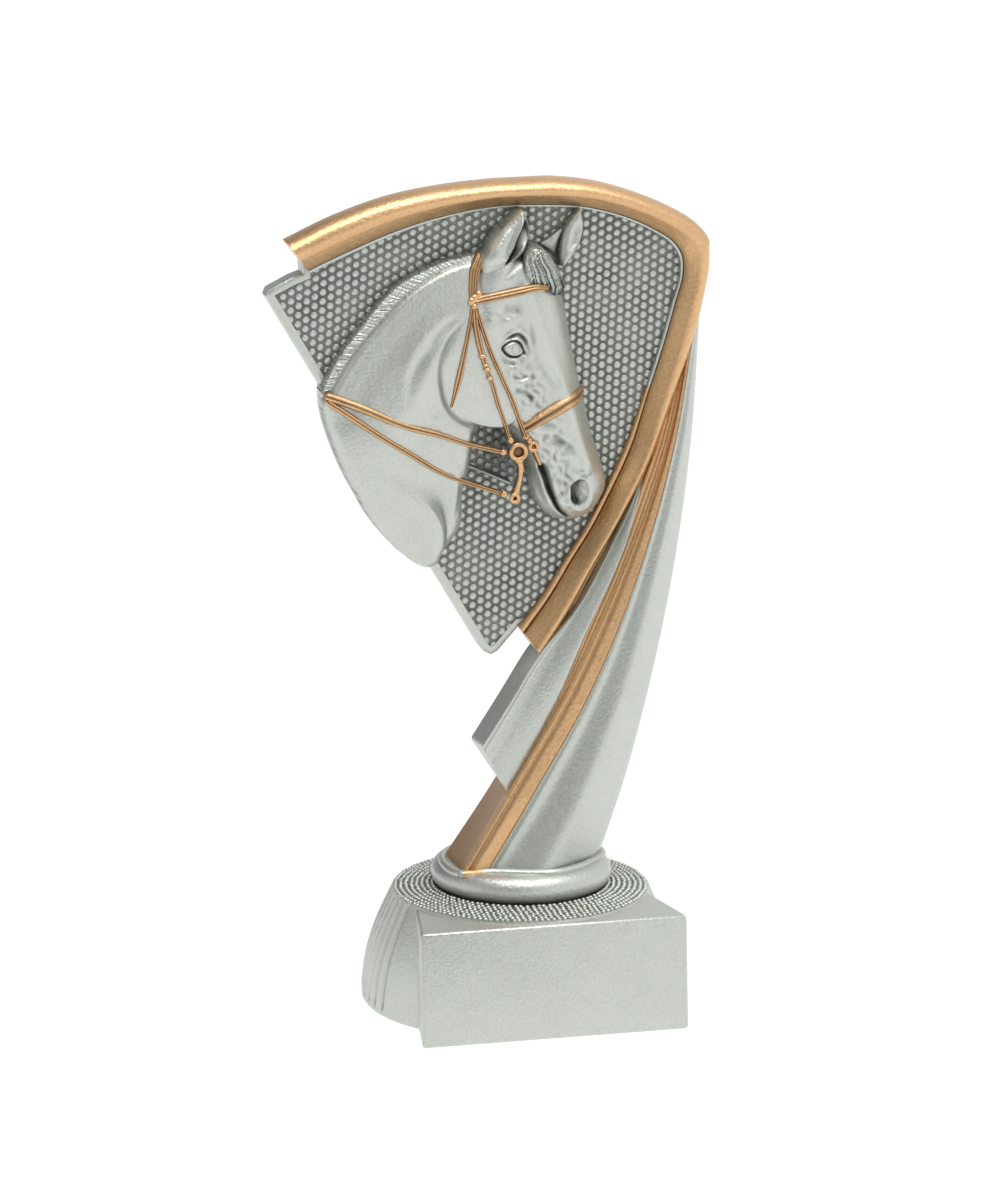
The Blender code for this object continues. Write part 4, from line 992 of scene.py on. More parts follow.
SHOULDER = [(-38.0, 124.5), (-29.5, 120.5), (-27.3, 118.8), (-25.6, 116.9), (-23.6, 115.2), (-21.3, 113.0),
            (-19.6, 110.2), (-18.6, 107.0), (-18.4, 104.0), (-18.7, 101.4), (-19.6, 98.8)]
JAW = [(-12.6, 153.6), (-15.2, 150.7), (-17.4, 147.8), (-18.8, 145.0), (-19.4, 142.0), (-19.3, 138.8),
       (-18.6, 135.2), (-17.3, 132.2), (-15.0, 129.9), (-11.6, 128.2), (-8.4, 127.4), (-5.4, 127.0)]
POLL = [(6.4, 163.6), (3.0, 165.6), (-1.5, 165.4), (-6.5, 165.0), (-10.2, 162.8), (-12.0, 158.0)]
NOSE_RIDGE = [(-0.6, 157.6), (3.3, 145.5), (7.7, 135.0), (11.4, 123.4), (12.9, 118.8)]
MOUTH = [(3.0, 118.9), (3.8, 116.7), (4.5, 114.2), (5.5, 111.8), (6.7, 109.5), (8.9, 107.4)]
NOSTRIL = [(9.0, 113.3), (9.1, 114.7), (10.1, 115.6), (11.3, 115.9), (12.5, 115.3), (13.0, 113.7),
           (12.9, 112.0), (12.2, 110.8), (11.0, 110.2), (9.6, 110.8), (9.0, 111.9)]
EYEBALL = [(-5.9, 145.4), (-4.8, 146.4), (-3.5, 146.8), (-2.3, 146.2), (-1.6, 145.1), (-1.4, 144.3),
           (-2.2, 143.6), (-3.4, 143.4), (-4.6, 143.7), (-5.5, 144.5)]
EYE_CENTRE = (-3.9, 145.3)
IRIS = (-3.2, 145.1)
IRIS_RADIUS = 0.95
THIN_SKIN = [(-2.6, 141.5), (-0.6, 137.0), (1.6, 131.0), (5.0, 123.0), (7.0, 117.0), (9.0, 111.0)]
THIN_SKIN_WIDTH = 3.4
NEAR_EAR = [(-1.0, 174.2), (-3.0, 172.5), (-6.6, 169.2), (-9.4, 165.6), (-10.2, 161.4), (-8.6, 160.2),
            (-6.4, 160.7), (-3.2, 163.0), (-0.3, 166.2), (0.7, 170.6), (0.0, 172.8)]
EAR_HOLLOW = [(-0.5, 172.2), (0.1, 169.8), (0.0, 167.8), (-1.1, 166.5), (-3.0, 164.6), (-5.1, 163.0),
              (-4.7, 164.5), (-3.5, 166.6), (-2.2, 169.3)]
EAR_RIDGE = [(-0.7, 173.6), (-1.7, 170.9), (-3.1, 167.8), (-4.4, 165.2), (-5.5, 163.1)]
FAR_EAR = [(12.3, 173.2), (9.1, 169.4), (7.6, 163.4), (8.0, 161.2), (10.8, 163.6), (13.0, 168.8),
           (12.9, 171.4)]
FORELOCK = [(-0.9, 164.6), (0.8, 166.4), (3.4, 165.8), (5.6, 162.9), (7.4, 159.8), (8.0, 156.6), (6.0, 156.2),
            (3.6, 157.4), (1.0, 158.2), (-0.6, 160.0)]
LOCK_LEFT = [(-0.7, 166.3), (-0.9, 162.9), (-0.3, 160.7), (0.4, 156.0)]
LOCK_RIGHT = [(3.0, 166.6), (5.8, 162.9), (7.5, 159.8), (8.4, 155.8)]
HORSE_OUTLINE = MANE_EDGE + NECK_BACK + NECK_FRONT + CHIN + FACE + FAR_EAR_EDGE + NEAR_EAR_EDGE
NECK_LOOP = CREST + NECK_BACK + NECK_FRONT + [(-8.0, 130.0), (-4.0, 150.0), (-6.0, 163.0)]
HEAD_LOOP = JAW + CHIN[2:] + FACE + POLL


# %% Fine strokes of the carving
# Each stroke is its line, its width, and how far it rises, or how far it cuts where below zero
NECK_STROKES = [
    (NECK_MUSCLE, 4.2, 0.9),
    (LOWER_GROOVE, 1.3, -0.5),
    (UPPER_GROOVE, 1.0, -0.4),
    ([(-19.6, 152.2), (-23.4, 148.4), (-26.2, 143.6), (-27.8, 138.4)], 1.4, 0.25),
    ([(-17.0, 124.0), (-15.6, 118.0), (-15.4, 112.0), (-16.4, 106.0)], 0.9, 0.35),
    ([(-15.0, 119.0), (-14.6, 113.0), (-15.6, 107.5)], 0.5, -0.3),
    ([(-20.4, 133.0), (-19.4, 129.6), (-16.8, 127.0)], 1.2, 0.35),
]
EYE_STROKES = [
    ([(-7.0, 145.6), (-5.8, 146.2), (-4.4, 147.0), (-3.0, 147.1), (-1.9, 146.7), (-1.2, 145.8),
      (-1.0, 144.9)], 0.34, 0.5),
    ([(-6.6, 146.2), (-5.3, 146.9), (-3.9, 147.8), (-2.4, 148.1), (-1.3, 147.2), (-0.6, 145.8), (-0.3, 144.3),
      (-0.3, 143.4)], 0.34, -0.5),
    ([(-7.1, 146.5), (-5.5, 147.5), (-4.1, 148.5), (-2.3, 148.8), (-0.9, 147.8), (0.0, 146.1),
      (0.4, 144.5)], 0.5, 0.4),
    ([(-6.6, 145.2), (-5.5, 143.7), (-4.1, 142.9), (-2.7, 142.9), (-1.4, 143.6)], 0.38, 0.4),
    ([(-6.4, 143.7), (-5.3, 142.4), (-3.9, 141.9), (-2.2, 142.3)], 0.45, -0.25),
    ([(-1.5, 144.4), (-1.2, 144.2), (-0.9, 143.3)], 0.32, -0.5),
    ([(-6.4, 150.4), (-5.1, 150.9), (-3.7, 151.0), (-2.0, 150.4)], 1.2, 0.5),
    ([(-8.4, 152.8), (-8.0, 151.0), (-7.0, 148.6)], 0.9, 0.35),
    ([(-6.6, 153.8), (-3.6, 153.9), (-1.2, 153.4)], 1.3, -0.4),
]
CHEEK_STROKES = [
    ([(-0.6, 143.0), (1.7, 139.9), (3.1, 137.4), (5.1, 134.4)], 0.5, 0.45),
    ([(2.4, 145.0), (3.1, 142.2), (4.3, 139.2), (6.4, 134.8)], 1.5, -0.5),
    ([(-0.3, 151.7), (0.6, 147.4), (1.0, 144.5)], 0.3, -0.22),
    ([(0.6, 150.0), (1.3, 146.8), (1.8, 143.8)], 0.4, 0.2),
    ([(-4.2, 140.6), (-3.1, 139.0), (-1.9, 138.6), (-1.0, 138.9), (0.2, 140.0)], 0.36, -0.45),
    ([(-3.8, 138.6), (-1.6, 137.9), (0.5, 138.8)], 0.42, 0.35),
    ([(-4.4, 141.8), (-2.4, 140.3), (-0.6, 140.8)], 0.5, 0.3),
    ([(-3.9, 137.4), (-2.2, 135.8), (-1.0, 135.5), (0.5, 134.2), (1.4, 132.8)], 0.36, -0.5),
    ([(-2.9, 137.6), (-0.7, 136.2), (1.0, 134.9), (2.1, 133.4)], 0.42, 0.4),
    ([(-0.9, 137.5), (0.2, 137.0), (1.3, 136.8)], 0.3, -0.3),
    ([(-1.6, 134.4), (-1.4, 133.6), (-0.9, 132.4)], 0.45, -0.35),
    ([(0.3, 139.8), (0.7, 139.0), (1.0, 138.2)], 0.45, -0.35),
    ([(1.5, 136.0), (2.2, 134.4), (2.9, 132.6)], 0.4, 0.3),
    ([(-3.0, 134.8), (-2.4, 133.2), (-2.2, 131.4)], 0.4, 0.25),
]
SNOUT_STROKES = [
    ([(3.2, 125.9), (5.5, 123.8), (7.2, 122.5), (8.9, 121.2), (10.6, 120.2)], 0.5, 0.6),
    ([(3.9, 127.0), (6.7, 124.7), (8.9, 123.3), (10.2, 121.5)], 0.6, -0.45),
    ([(2.6, 127.3), (5.5, 126.5), (7.4, 125.2), (9.4, 122.9)], 0.5, 0.3),
    ([(3.5, 124.6), (4.5, 120.0), (5.0, 116.9), (5.5, 114.4), (6.5, 111.9), (8.4, 108.9)], 0.6, 0.45),
    ([(5.2, 123.0), (7.2, 119.6), (8.4, 116.7), (8.0, 114.3), (8.2, 111.8), (9.8, 109.6)], 0.7, -0.4),
    ([(5.3, 118.4), (6.5, 114.8), (7.6, 111.7)], 0.26, -0.2),
    ([(6.0, 119.6), (7.0, 116.4), (7.2, 113.2)], 0.3, 0.18),
    ([(8.2, 115.0), (8.1, 112.3), (9.4, 109.9), (11.1, 109.2), (12.8, 109.8), (13.9, 111.7),
      (13.8, 114.6)], 0.5, 0.45),
    ([(10.4, 117.2), (12.0, 117.4), (13.6, 116.4)], 0.5, 0.35),
    ([(10.6, 116.4), (12.0, 116.5), (13.2, 115.7)], 0.26, -0.3),
    ([(1.4, 120.4), (2.6, 116.3), (3.6, 113.3), (4.5, 110.9), (6.6, 108.2)], 0.36, 0.45),
    ([(1.3, 117.6), (2.4, 113.6), (4.0, 110.2)], 0.4, -0.25),
]
EAR_STROKES = [
    ([(-6.6, 160.0), (-5.5, 160.4), (-4.1, 161.5), (-2.8, 162.7), (-1.5, 164.0), (0.2, 166.2)], 0.6, -0.5),
    ([(12.1, 172.4), (11.3, 169.6), (10.4, 166.8), (9.2, 163.8)], 0.8, -0.45),
    ([(12.0, 173.4), (9.6, 170.5), (8.3, 167.9), (7.8, 165.2), (7.8, 161.5)], 0.4, 0.6),
    ([(12.5, 172.8), (12.7, 170.3), (11.7, 166.6), (10.2, 164.8), (8.4, 162.6)], 0.32, 0.3),
    ([(4.6, 166.6), (6.0, 166.8), (7.2, 166.2)], 1.1, 0.7),
]
NEAR_EAR_STROKES = [
    (EAR_RIDGE, 0.42, 0.45),
    ([(-2.3, 171.5), (-3.6, 168.9), (-4.7, 166.6), (-5.8, 163.7)], 0.28, -0.2),
    ([(-0.6, 172.6), (0.5, 169.8), (0.4, 167.4), (-0.7, 165.9), (-2.9, 163.8), (-5.2, 162.3)], 0.34, 0.4),
    ([(-3.6, 171.0), (-6.0, 168.0), (-8.0, 164.4)], 0.9, 0.3),
]


# %% Clay in layers
def distance_to(x, z, points):
    """Distance to the smooth line through a few points."""
    return read_path(x, z, smooth_path(points))[0]


def depth_inside(x, z, points):
    """Distance inside the smooth closed line through a few points."""
    return depth_in_loop(x, z, smooth_path(points, closed=True))


def dome(depth, rim, height):
    """Quarter-round edge that rises over the width of the rim to a flat top."""
    share = np.clip(depth / rim, 0.0, 1.0)
    return height * np.sqrt(1.0 - (1.0 - share) ** 2)


def blend_max(one, other, soft):
    """The higher of two surfaces, with the crease between them rounded."""
    share = np.clip(0.5 + 0.5 * (one - other) / soft, 0.0, 1.0)
    return other * (1.0 - share) + one * share + soft * share * (1.0 - share)


def add_strokes(height, x, z, strokes, widen=1.0, share=1.0):
    """Raise or cut a surface along lines that fade out at both ends."""
    for points, width, rise in strokes:
        distance, along, side = read_path(x, z, smooth_path(points))
        fade = ramp(along, 0.0, 0.35) * ramp(1.0 - along, 0.0, 0.35)
        height = height + rise * share * fade * bell(distance, width * widen)
    return height


def strands(across, pitch):
    """Waves of several widths, from -1 to 1, like hair that was combed in clay."""
    turn = math.tau * across / pitch
    return 0.36 * np.sin(turn) + 0.36 * np.sin(1.63 * turn + 1.3) + 0.28 * np.sin(2.9 * turn + 0.4)


# %% Neck, shoulder and mane
HAIR_SPREAD = 50.0
HAIR_PITCH = 1.05
MANE_WIDTH = 5.5


def neck_height(x, z):
    """A straight wall behind, a raised crest, hollows and a muscle between, hair along the crest."""
    slab = depth_inside(x, z, NECK_LOOP)
    off_crest, crest_share, crest_side = read_path(x, z, smooth_path(CREST))
    crisp = 0.35 + 0.65 * ramp(off_crest, 1.0, 4.0)
    height = 4.4 + 1.6 * (1.0 - crisp) + crisp * dome(slab, 2.0, 1.6) + dome(slab, 13.0, 2.0)
    height = height - 2.3 * (1.0 - np.clip(off_crest / 15.0, 0.0, 1.0)) ** 1.5
    height = height + 0.35 * bell(off_crest - 0.6, 0.9)
    height = height - 0.3 * bell(off_crest - 5.0, 2.5)
    height = add_strokes(height, x, z, NECK_STROKES)
    off_shoulder, share, side = read_path(x, z, smooth_path(SHOULDER))
    beyond = off_shoulder * side
    fall = ramp(121.0 - z, 0.0, 11.0)
    soft = 0.5 + 1.8 * ramp(z - 106.0, 0.0, 12.0)
    sunk = ramp(-beyond, -soft, soft + 0.4) * bell(np.maximum(off_shoulder - 3.0, 0.0), 6.0)
    height = height - 2.3 * fall * sunk
    height = height + 0.9 * fall * bell(beyond - 1.8, 2.0)
    front = np.clip(distance_to(x, z, NECK_FRONT) / 3.0, 0.0, 1.0)
    height = np.where(slab > 0, height - 1.8 * (1.0 - front) ** 2, 0.0)
    combed = crest_share * HAIR_SPREAD - 0.8 * off_crest + 0.35 * np.sin(crest_share * 31.0)
    mane = 3.7 - 1.8 * np.clip(off_crest / 4.2, 0.0, 1.0)
    mane = mane + 0.25 * strands(combed, HAIR_PITCH) * ramp(off_crest, 0.0, 0.7)
    on_mane = (slab <= 0) & (off_crest < MANE_WIDTH) & (crest_side > 0)
    return np.where(on_mane, mane, height)


# %% Head
def folds(x, z):
    """Irregular creases of thin skin, from -1 to 1."""
    bent = x + 0.9 * np.sin(0.55 * z + 0.6 * x) + 0.5 * np.sin(1.3 * z - 0.8 * x)
    return np.sin(2.1 * bent + 1.2 * z) * np.sin(1.1 * z - 0.6 * bent + 1.0)


def off_iris(x, z):
    """Distance to the round edge of the iris."""
    return np.hypot(x - IRIS[0], z - IRIS[1]) - IRIS_RADIUS


def head_height(x, z):
    """Skull, cheek, eye, nose, nostril and lips."""
    inner = depth_inside(x, z, HEAD_LOOP)
    height = 2.2 + dome(inner, 5.5, 5.6)
    height = height - 2.0 * (1.0 - np.clip(distance_to(x, z, FACE) / 8.0, 0.0, 1.0)) ** 1.3
    height = height + 1.0 * bell(distance_to(x, z, NOSE_RIDGE), 1.8)
    height = height + 0.16 * folds(x, z) * bell(distance_to(x, z, THIN_SKIN), THIN_SKIN_WIDTH)
    cheek_reach = np.hypot((x + 9.0) / 10.5, (z - 140.0) / 13.0)
    cheek = (6.6 + 2.0 * np.sqrt(np.clip(1.0 - cheek_reach ** 2, 0.0, 1.0))) * ramp(inner, -0.2, 1.0)
    height = blend_max(height, np.where(cheek_reach < 1.0, cheek, 0.0), 1.4)
    height = height - 0.8 * bell(np.hypot((x - EYE_CENTRE[0]) / 4.6, (z - EYE_CENTRE[1]) / 3.6), 0.9)
    eyeball = depth_inside(x, z, EYEBALL)
    height = height + dome(eyeball, 1.4, 0.9) - 0.4 * bell(eyeball, 0.24)
    height = height - 0.14 * bell(off_iris(x, z), 0.16) * (eyeball > 0.2)
    for strokes, widen, share in ((EYE_STROKES, 1.05, 1.1), (CHEEK_STROKES, 1.35, 0.9),
                                  (SNOUT_STROKES, 1.2, 1.05)):
        height = add_strokes(height, x, z, strokes, widen, share)
    nostril = depth_inside(x, z, NOSTRIL)
    height = height - dome(nostril, 1.2, 2.2) * (1.0 - 0.65 * ramp(x, 9.8, 12.6))
    lips, share, side = read_path(x, z, smooth_path(MOUTH))
    height = height - (2.2 - 1.3 * share) * bell(lips, 0.62 - 0.3 * share)
    return np.where(inner > 0, height, 0.0)


# %% Ears, forelock and the whole horse
def near_ear_height(x, z, near_ear):
    """Ear whose hollow is deepest beside its left ridge."""
    height = 3.6 + dome(near_ear, 2.4, 3.2) + 1.6 * ramp(170.0 - z, 0.0, 9.0) - 1.8 * ramp(165.0 - z, 0.0, 4.0)
    hollow = depth_inside(x, z, EAR_HOLLOW)
    height = height - dome(hollow, 0.8, 2.3) * (1.0 - 0.6 * ramp(distance_to(x, z, EAR_RIDGE), 0.6, 2.6))
    return add_strokes(height, x, z, NEAR_EAR_STROKES)


def forelock_height(x, z, lock):
    """Strands that fan out between the left and the right line of the lock."""
    left, right = distance_to(x, z, LOCK_LEFT), distance_to(x, z, LOCK_RIGHT)
    waves = strands(left / (left + right + 1e-6) * 9.0 + 0.1 * np.sin(1.7 * z), HAIR_PITCH)
    ragged = lock + 0.8 * waves * ramp(161.0 - z, 0.0, 3.0)
    height = 6.9 + dome(ragged, 2.0, 1.7) - 0.22 * (x - 2.0) + 0.45 * waves
    return np.where((lock > -0.6) & (ragged > 0), height, 0.0)


def horse_height(x, z):
    """Height of the whole horse above the panel face."""
    outline = depth_inside(x, z, HORSE_OUTLINE)
    near_ear = depth_inside(x, z, NEAR_EAR)
    far_ear = depth_inside(x, z, FAR_EAR)
    near_top = near_ear_height(x, z, near_ear)
    far_top = np.where(far_ear > 0, 1.6 + dome(far_ear, 1.8, 2.0) + 1.4 * ramp(170.0 - z, 0.0, 9.0), 0.0)
    height = blend_max(neck_height(x, z), head_height(x, z), 0.4)
    height = add_strokes(blend_max(height, far_top, 0.3), x, z, EAR_STROKES)
    height = blend_max(height, forelock_height(x, z, depth_inside(x, z, FORELOCK)), 0.3)
    rooted = ramp(162.6 + 0.25 * (x + 6.0) - z, 0.0, 2.2)
    open_part = ramp(depth_inside(x, z, EAR_HOLLOW), -0.5, 0.1) * (1.0 - rooted)
    covered = near_top * open_part + blend_max(height, near_top, 0.8) * (1.0 - open_part)
    height = np.where(near_ear > 0, covered, height)
    off_jaw, jaw_share, side = read_path(x, z, smooth_path(JAW))
    jaw_fade = ramp(jaw_share, 0.02, 0.25) * ramp(1.0 - jaw_share, 0.0, 0.2)
    height = height - jaw_fade * (0.5 * bell(off_jaw, 0.5) + 0.5 * bell(off_jaw, 1.8))
    lowest = 0.9 + dome(outline, 1.2, 0.6)
    return np.where(outline > 0, np.maximum(height, lowest), 0.0)


# %% [markdown]
# ## From heights to a mesh, and where the wash and the painted shade go
# The heights are worked out once on a square grid. The straps of the bridle read the same grid, so
# they lie on the horse. The wash stays where a spot is lower than the mean of its close surroundings,
# which a blurred copy of the grid tells. A wider blur adds painted shade in the broad hollows and at
# the foot of steep walls, and more painted shade lies round the eye, in the ear, in the skin folds
# and behind the bit.

# %% Relief map
RELIEF_STEP = 0.19


def blur(heights, reach):
    """Mean over a bell-shaped neighbourhood, in grid steps."""
    offsets = np.arange(-int(3 * reach), int(3 * reach) + 1)
    weights = np.exp(-0.5 * (offsets / reach) ** 2)
    weights /= weights.sum()
    for axis in (0, 1):
        heights = sum(weight * np.roll(heights, shift, axis) for weight, shift in zip(weights, offsets))
    return heights


def read_map(grid, x, z):
    """Value of a grid between its points."""
    across = np.clip((np.asarray(x) - GRID_X[0]) / RELIEF_STEP, 0, len(GRID_X) - 1.001)
    up = np.clip((np.asarray(z) - GRID_Z[0]) / RELIEF_STEP, 0, len(GRID_Z) - 1.001)
    column, row = across.astype(int), up.astype(int)
    a, b = across - column, up - row
    return ((1 - a) * (1 - b) * grid[row, column] + a * (1 - b) * grid[row, column + 1]
            + (1 - a) * b * grid[row + 1, column] + a * b * grid[row + 1, column + 1])


OUTLINE_LINE = smooth_path(HORSE_OUTLINE, closed=True, pieces=8)
GRID_X = np.arange(OUTLINE_LINE[:, 0].min() - 1.5, OUTLINE_LINE[:, 0].max() + 1.5, RELIEF_STEP)
GRID_Z = np.arange(OUTLINE_LINE[:, 1].min() - 1.5, OUTLINE_LINE[:, 1].max() + 1.5, RELIEF_STEP)
HEIGHTS = horse_height(*np.meshgrid(GRID_X, GRID_Z))
FINE_HOLLOWS = np.clip(blur(HEIGHTS, 2.4) - HEIGHTS - 0.02, 0.0, 1.0)
# the wider blur marks the broad hollows that take painted shade
WIDE_HOLLOWS = np.clip(blur(HEIGHTS, 9.0) - HEIGHTS - 0.1, 0.0, 2.0)


def wash_and_painted_shade(x, z):
    """Dark wash in the nostril and the mouth; painted shade in the ear hollow beside its ridge, round the
    eyeball and its iris, in the skin folds, and a painted shadow behind the bit.
    """
    nostril = ramp(depth_inside(x, z, NOSTRIL), -0.1, 0.4) * (1.0 - 0.85 * ramp(x, 9.4, 12.0))
    lips, share, side = read_path(x, z, smooth_path(MOUTH))
    mouth = bell(lips, 0.55 - 0.2 * share)
    # painted shade: the ear hollow is darkest beside its ridge
    painted_ear_shade = 1.0 - 0.9 * ramp(distance_to(x, z, EAR_RIDGE), 0.3, 2.2)
    painted_ear_shade = painted_ear_shade * ramp(depth_inside(x, z, EAR_HOLLOW), -0.1, 0.3)
    # painted shadow of the bit on the horse
    bit = 0.6 * bell(np.hypot(x - BIT_PAINTED_SHADOW[0] - 1.0, z - BIT_PAINTED_SHADOW[1] - 1.0), 2.6)
    eyeball = depth_inside(x, z, EYEBALL)
    # painted shade round the eyeball and along the iris
    painted_eye_shade = 0.28 * bell(eyeball, 0.22) + 0.2 * bell(off_iris(x, z), 0.2) * (eyeball > 0.2)
    # painted shade in the valleys of the skin folds
    painted_fold_shade = 0.3 * np.clip(-1.3 * folds(x, z), 0.0, 1.0) * bell(distance_to(x, z, THIN_SKIN), THIN_SKIN_WIDTH)
    return 0.7 * nostril + 0.8 * mouth + 0.65 * painted_ear_shade + bit + painted_eye_shade + painted_fold_shade


FINE_WASH = 2.1
# painted shade in the wide hollows, on top of the wash in the fine ones
WIDE_PAINTED_SHADE = 0.3
HORSE_WASH_AND_SHADE = FINE_WASH * FINE_HOLLOWS + WIDE_PAINTED_SHADE * WIDE_HOLLOWS + wash_and_painted_shade(*np.meshgrid(GRID_X, GRID_Z))
HORSE_WASH_AND_SHADE = np.clip(HORSE_WASH_AND_SHADE, 0.0, 0.95)
print("relief map", HEIGHTS.shape, "highest", round(float(HEIGHTS.max()), 2), "mm")


# %% Horse mesh
HORSE_BACK = 0.5
LOWEST_RELIEF = 0.9
TUFT_REACH = 0.154


def nearest_on(line, x, z):
    """Nearest point of a line to a place."""
    start, step = line[:-1], np.diff(line, axis=0)
    length = (step ** 2).sum(axis=1) + 1e-12
    share = np.clip(((x - start[:, 0]) * step[:, 0] + (z - start[:, 1]) * step[:, 1]) / length, 0.0, 1.0)
    spots = start + share[:, None] * step
    best = np.argmin((spots[:, 0] - x) ** 2 + (spots[:, 1] - z) ** 2)
    return spots[best]


def fold_away_loose_corners(bm):
    """Take off cells that hang on by one corner or stand out alone, until none is left."""
    while True:
        loose = [vert for vert in bm.verts if len([e for e in vert.link_edges if e.is_boundary]) > 2]
        thin = [face for face in bm.faces if len([e for e in face.edges if e.is_boundary]) > 2]
        pinched = {vert.link_faces[0] for vert in loose} | set(thin)
        if not pinched:
            return
        bmesh.ops.delete(bm, geom=list(pinched), context="FACES")


def make_horse():
    """Grid cut to the outline, lifted to the relief and given a wall and a back."""
    bm = start_piece()
    layer = wash_and_shade_layer(bm)
    columns, rows = len(GRID_X) - 1, len(GRID_Z) - 1
    bmesh.ops.create_grid(bm, x_segments=columns, y_segments=rows, size=0.5)
    for index, vert in enumerate(bm.verts):
        row, column = divmod(index, columns + 1)
        vert.co = (GRID_X[column], 0.0, GRID_Z[row])
    spots = np.array([face.calc_center_median() for face in bm.faces])
    depth = depth_in_loop(spots[:, 0], spots[:, 2], OUTLINE_LINE)
    outside = [face for face, reach in zip(bm.faces, depth) if reach < 0.0]
    bmesh.ops.delete(bm, geom=outside, context="FACES")
    fold_away_loose_corners(bm)
    ring = np.vstack([OUTLINE_LINE, OUTLINE_LINE[:1]])
    for vert in bm.verts:
        if vert.is_boundary:
            vert.co.x, vert.co.z = nearest_on(ring, vert.co.x, vert.co.z)
    rim_verts = [vert for vert in bm.verts if vert.is_boundary]
    rim_spots = np.array([vert.co[:] for vert in rim_verts])
    off_crest, crest_share, crest_side = read_path(rim_spots[:, 0], rim_spots[:, 2], smooth_path(CREST))
    tufts = TUFT_REACH * strands(crest_share * HAIR_SPREAD, HAIR_PITCH)
    tufts = tufts * (off_crest < MANE_WIDTH) * (crest_side > 0)
    for vert, tuft in zip(rim_verts, tufts):
        vert.co.x -= tuft
        vert.co.z += tuft
    inner = [vert for vert in bm.verts if not vert.is_boundary]
    for turn in range(2):
        bmesh.ops.smooth_vert(bm, verts=inner, factor=0.5, use_axis_x=True, use_axis_z=True)
    places = np.array([vert.co[:] for vert in bm.verts])
    heights = horse_height(places[:, 0], places[:, 2])
    wash_and_shade_values = read_map(HORSE_WASH_AND_SHADE, places[:, 0], places[:, 2])
    rim = [edge for edge in bm.edges if edge.is_boundary]
    for vert, height, wash_and_shade in zip(bm.verts, heights, wash_and_shade_values):
        vert.co.y = -PANEL_FACE - max(height, LOWEST_RELIEF)
        vert[layer] = float(wash_and_shade)
    moved = bmesh.ops.extrude_edge_only(bm, edges=rim)["geom"]
    for vert in [item for item in moved if isinstance(item, bmesh.types.BMVert)]:
        vert.co.y = -HORSE_BACK
        vert[layer] = 0.0
    bmesh.ops.holes_fill(bm, edges=[edge for edge in bm.edges if edge.is_boundary], sides=0)
    return finish_piece("horse_relief", bm, "silver_paint", 55.0)


make_horse()

# %% [markdown]
# ## Bridle and reins
# The straps are gold bands modelled on the horse, with ridges along them like folded leather. Each
# follows a line on the relief: the map gives the height under it, and a ridged section is carried
# along. The reins leave the neck and cross the gap to the bit in the air, as on the casting.


# %% Bands along a line
SOFT_HEIGHTS = blur(HEIGHTS, 4.0)


BAND_PIECES = 8
BAND_SINK = 0.8
BAND_GRIME = 0.8


def band_sections(points, rise, ridges, ridge_depth):
    """Rings of a ridged band along rows of x, z, half width and the least height over the panel."""
    rows = [tuple(point) + (0.0,) * (4 - len(point)) for point in points]
    path = smooth_path(rows, pieces=BAND_PIECES)
    place, half, least = path[:, :2], path[:, 2], path[:, 3]
    along = np.gradient(place, axis=0)
    along /= np.linalg.norm(along, axis=1)[:, None]
    across = np.column_stack([-along[:, 1], along[:, 0]])
    shares = np.linspace(-1.0, 1.0, 8 * ridges + 9)
    spots = place[:, None, :] + across[:, None, :] * (shares[None, :] * half[:, None])[:, :, None]
    seats = np.maximum(read_map(SOFT_HEIGHTS, spots[:, :, 0], spots[:, :, 1]), least[:, None])
    seats = 0.5 * seats.mean(axis=1)[:, None] + 0.5 * seats
    for turn in range(4 * BAND_PIECES):
        seats[1:-1] = (seats[:-2] + 2 * seats[1:-1] + seats[2:]) / 4
    crown = np.sqrt(np.clip(1.0 - np.abs(shares) ** 3.5, 0.0, 1.0))
    furrow = ridge_depth * crown * (0.5 + 0.5 * np.cos(math.pi * ridges * (shares + 1.0)))
    tops = seats + rise * crown - furrow
    darkening = BAND_GRIME * furrow / max(ridge_depth, 1e-6) + 0.6 * (np.abs(shares) > 0.93)
    wash_and_shade_values = np.concatenate([np.clip(darkening, 0.0, BAND_GRIME), [BAND_GRIME, BAND_GRIME]])
    rings = []
    for spot, top, seat in zip(spots, tops, seats):
        ring = [(x, -PANEL_FACE - height, z) for (x, z), height in zip(spot, top)]
        ring += [(spot[end][0], -PANEL_FACE - seat[end] + BAND_SINK, spot[end][1]) for end in (-1, 0)]
        rings.append(ring)
    return rings, [wash_and_shade_values] * len(rings)


def make_band(name, rise, ridges, ridge_depth, *lines, slot="gold_paint"):
    """One piece from the bands along one or more lines."""
    bm = start_piece()
    for points in lines:
        loft(*band_sections(points, rise, ridges, ridge_depth), bm=bm)
    return finish_piece(name, bm, slot, 60.0)


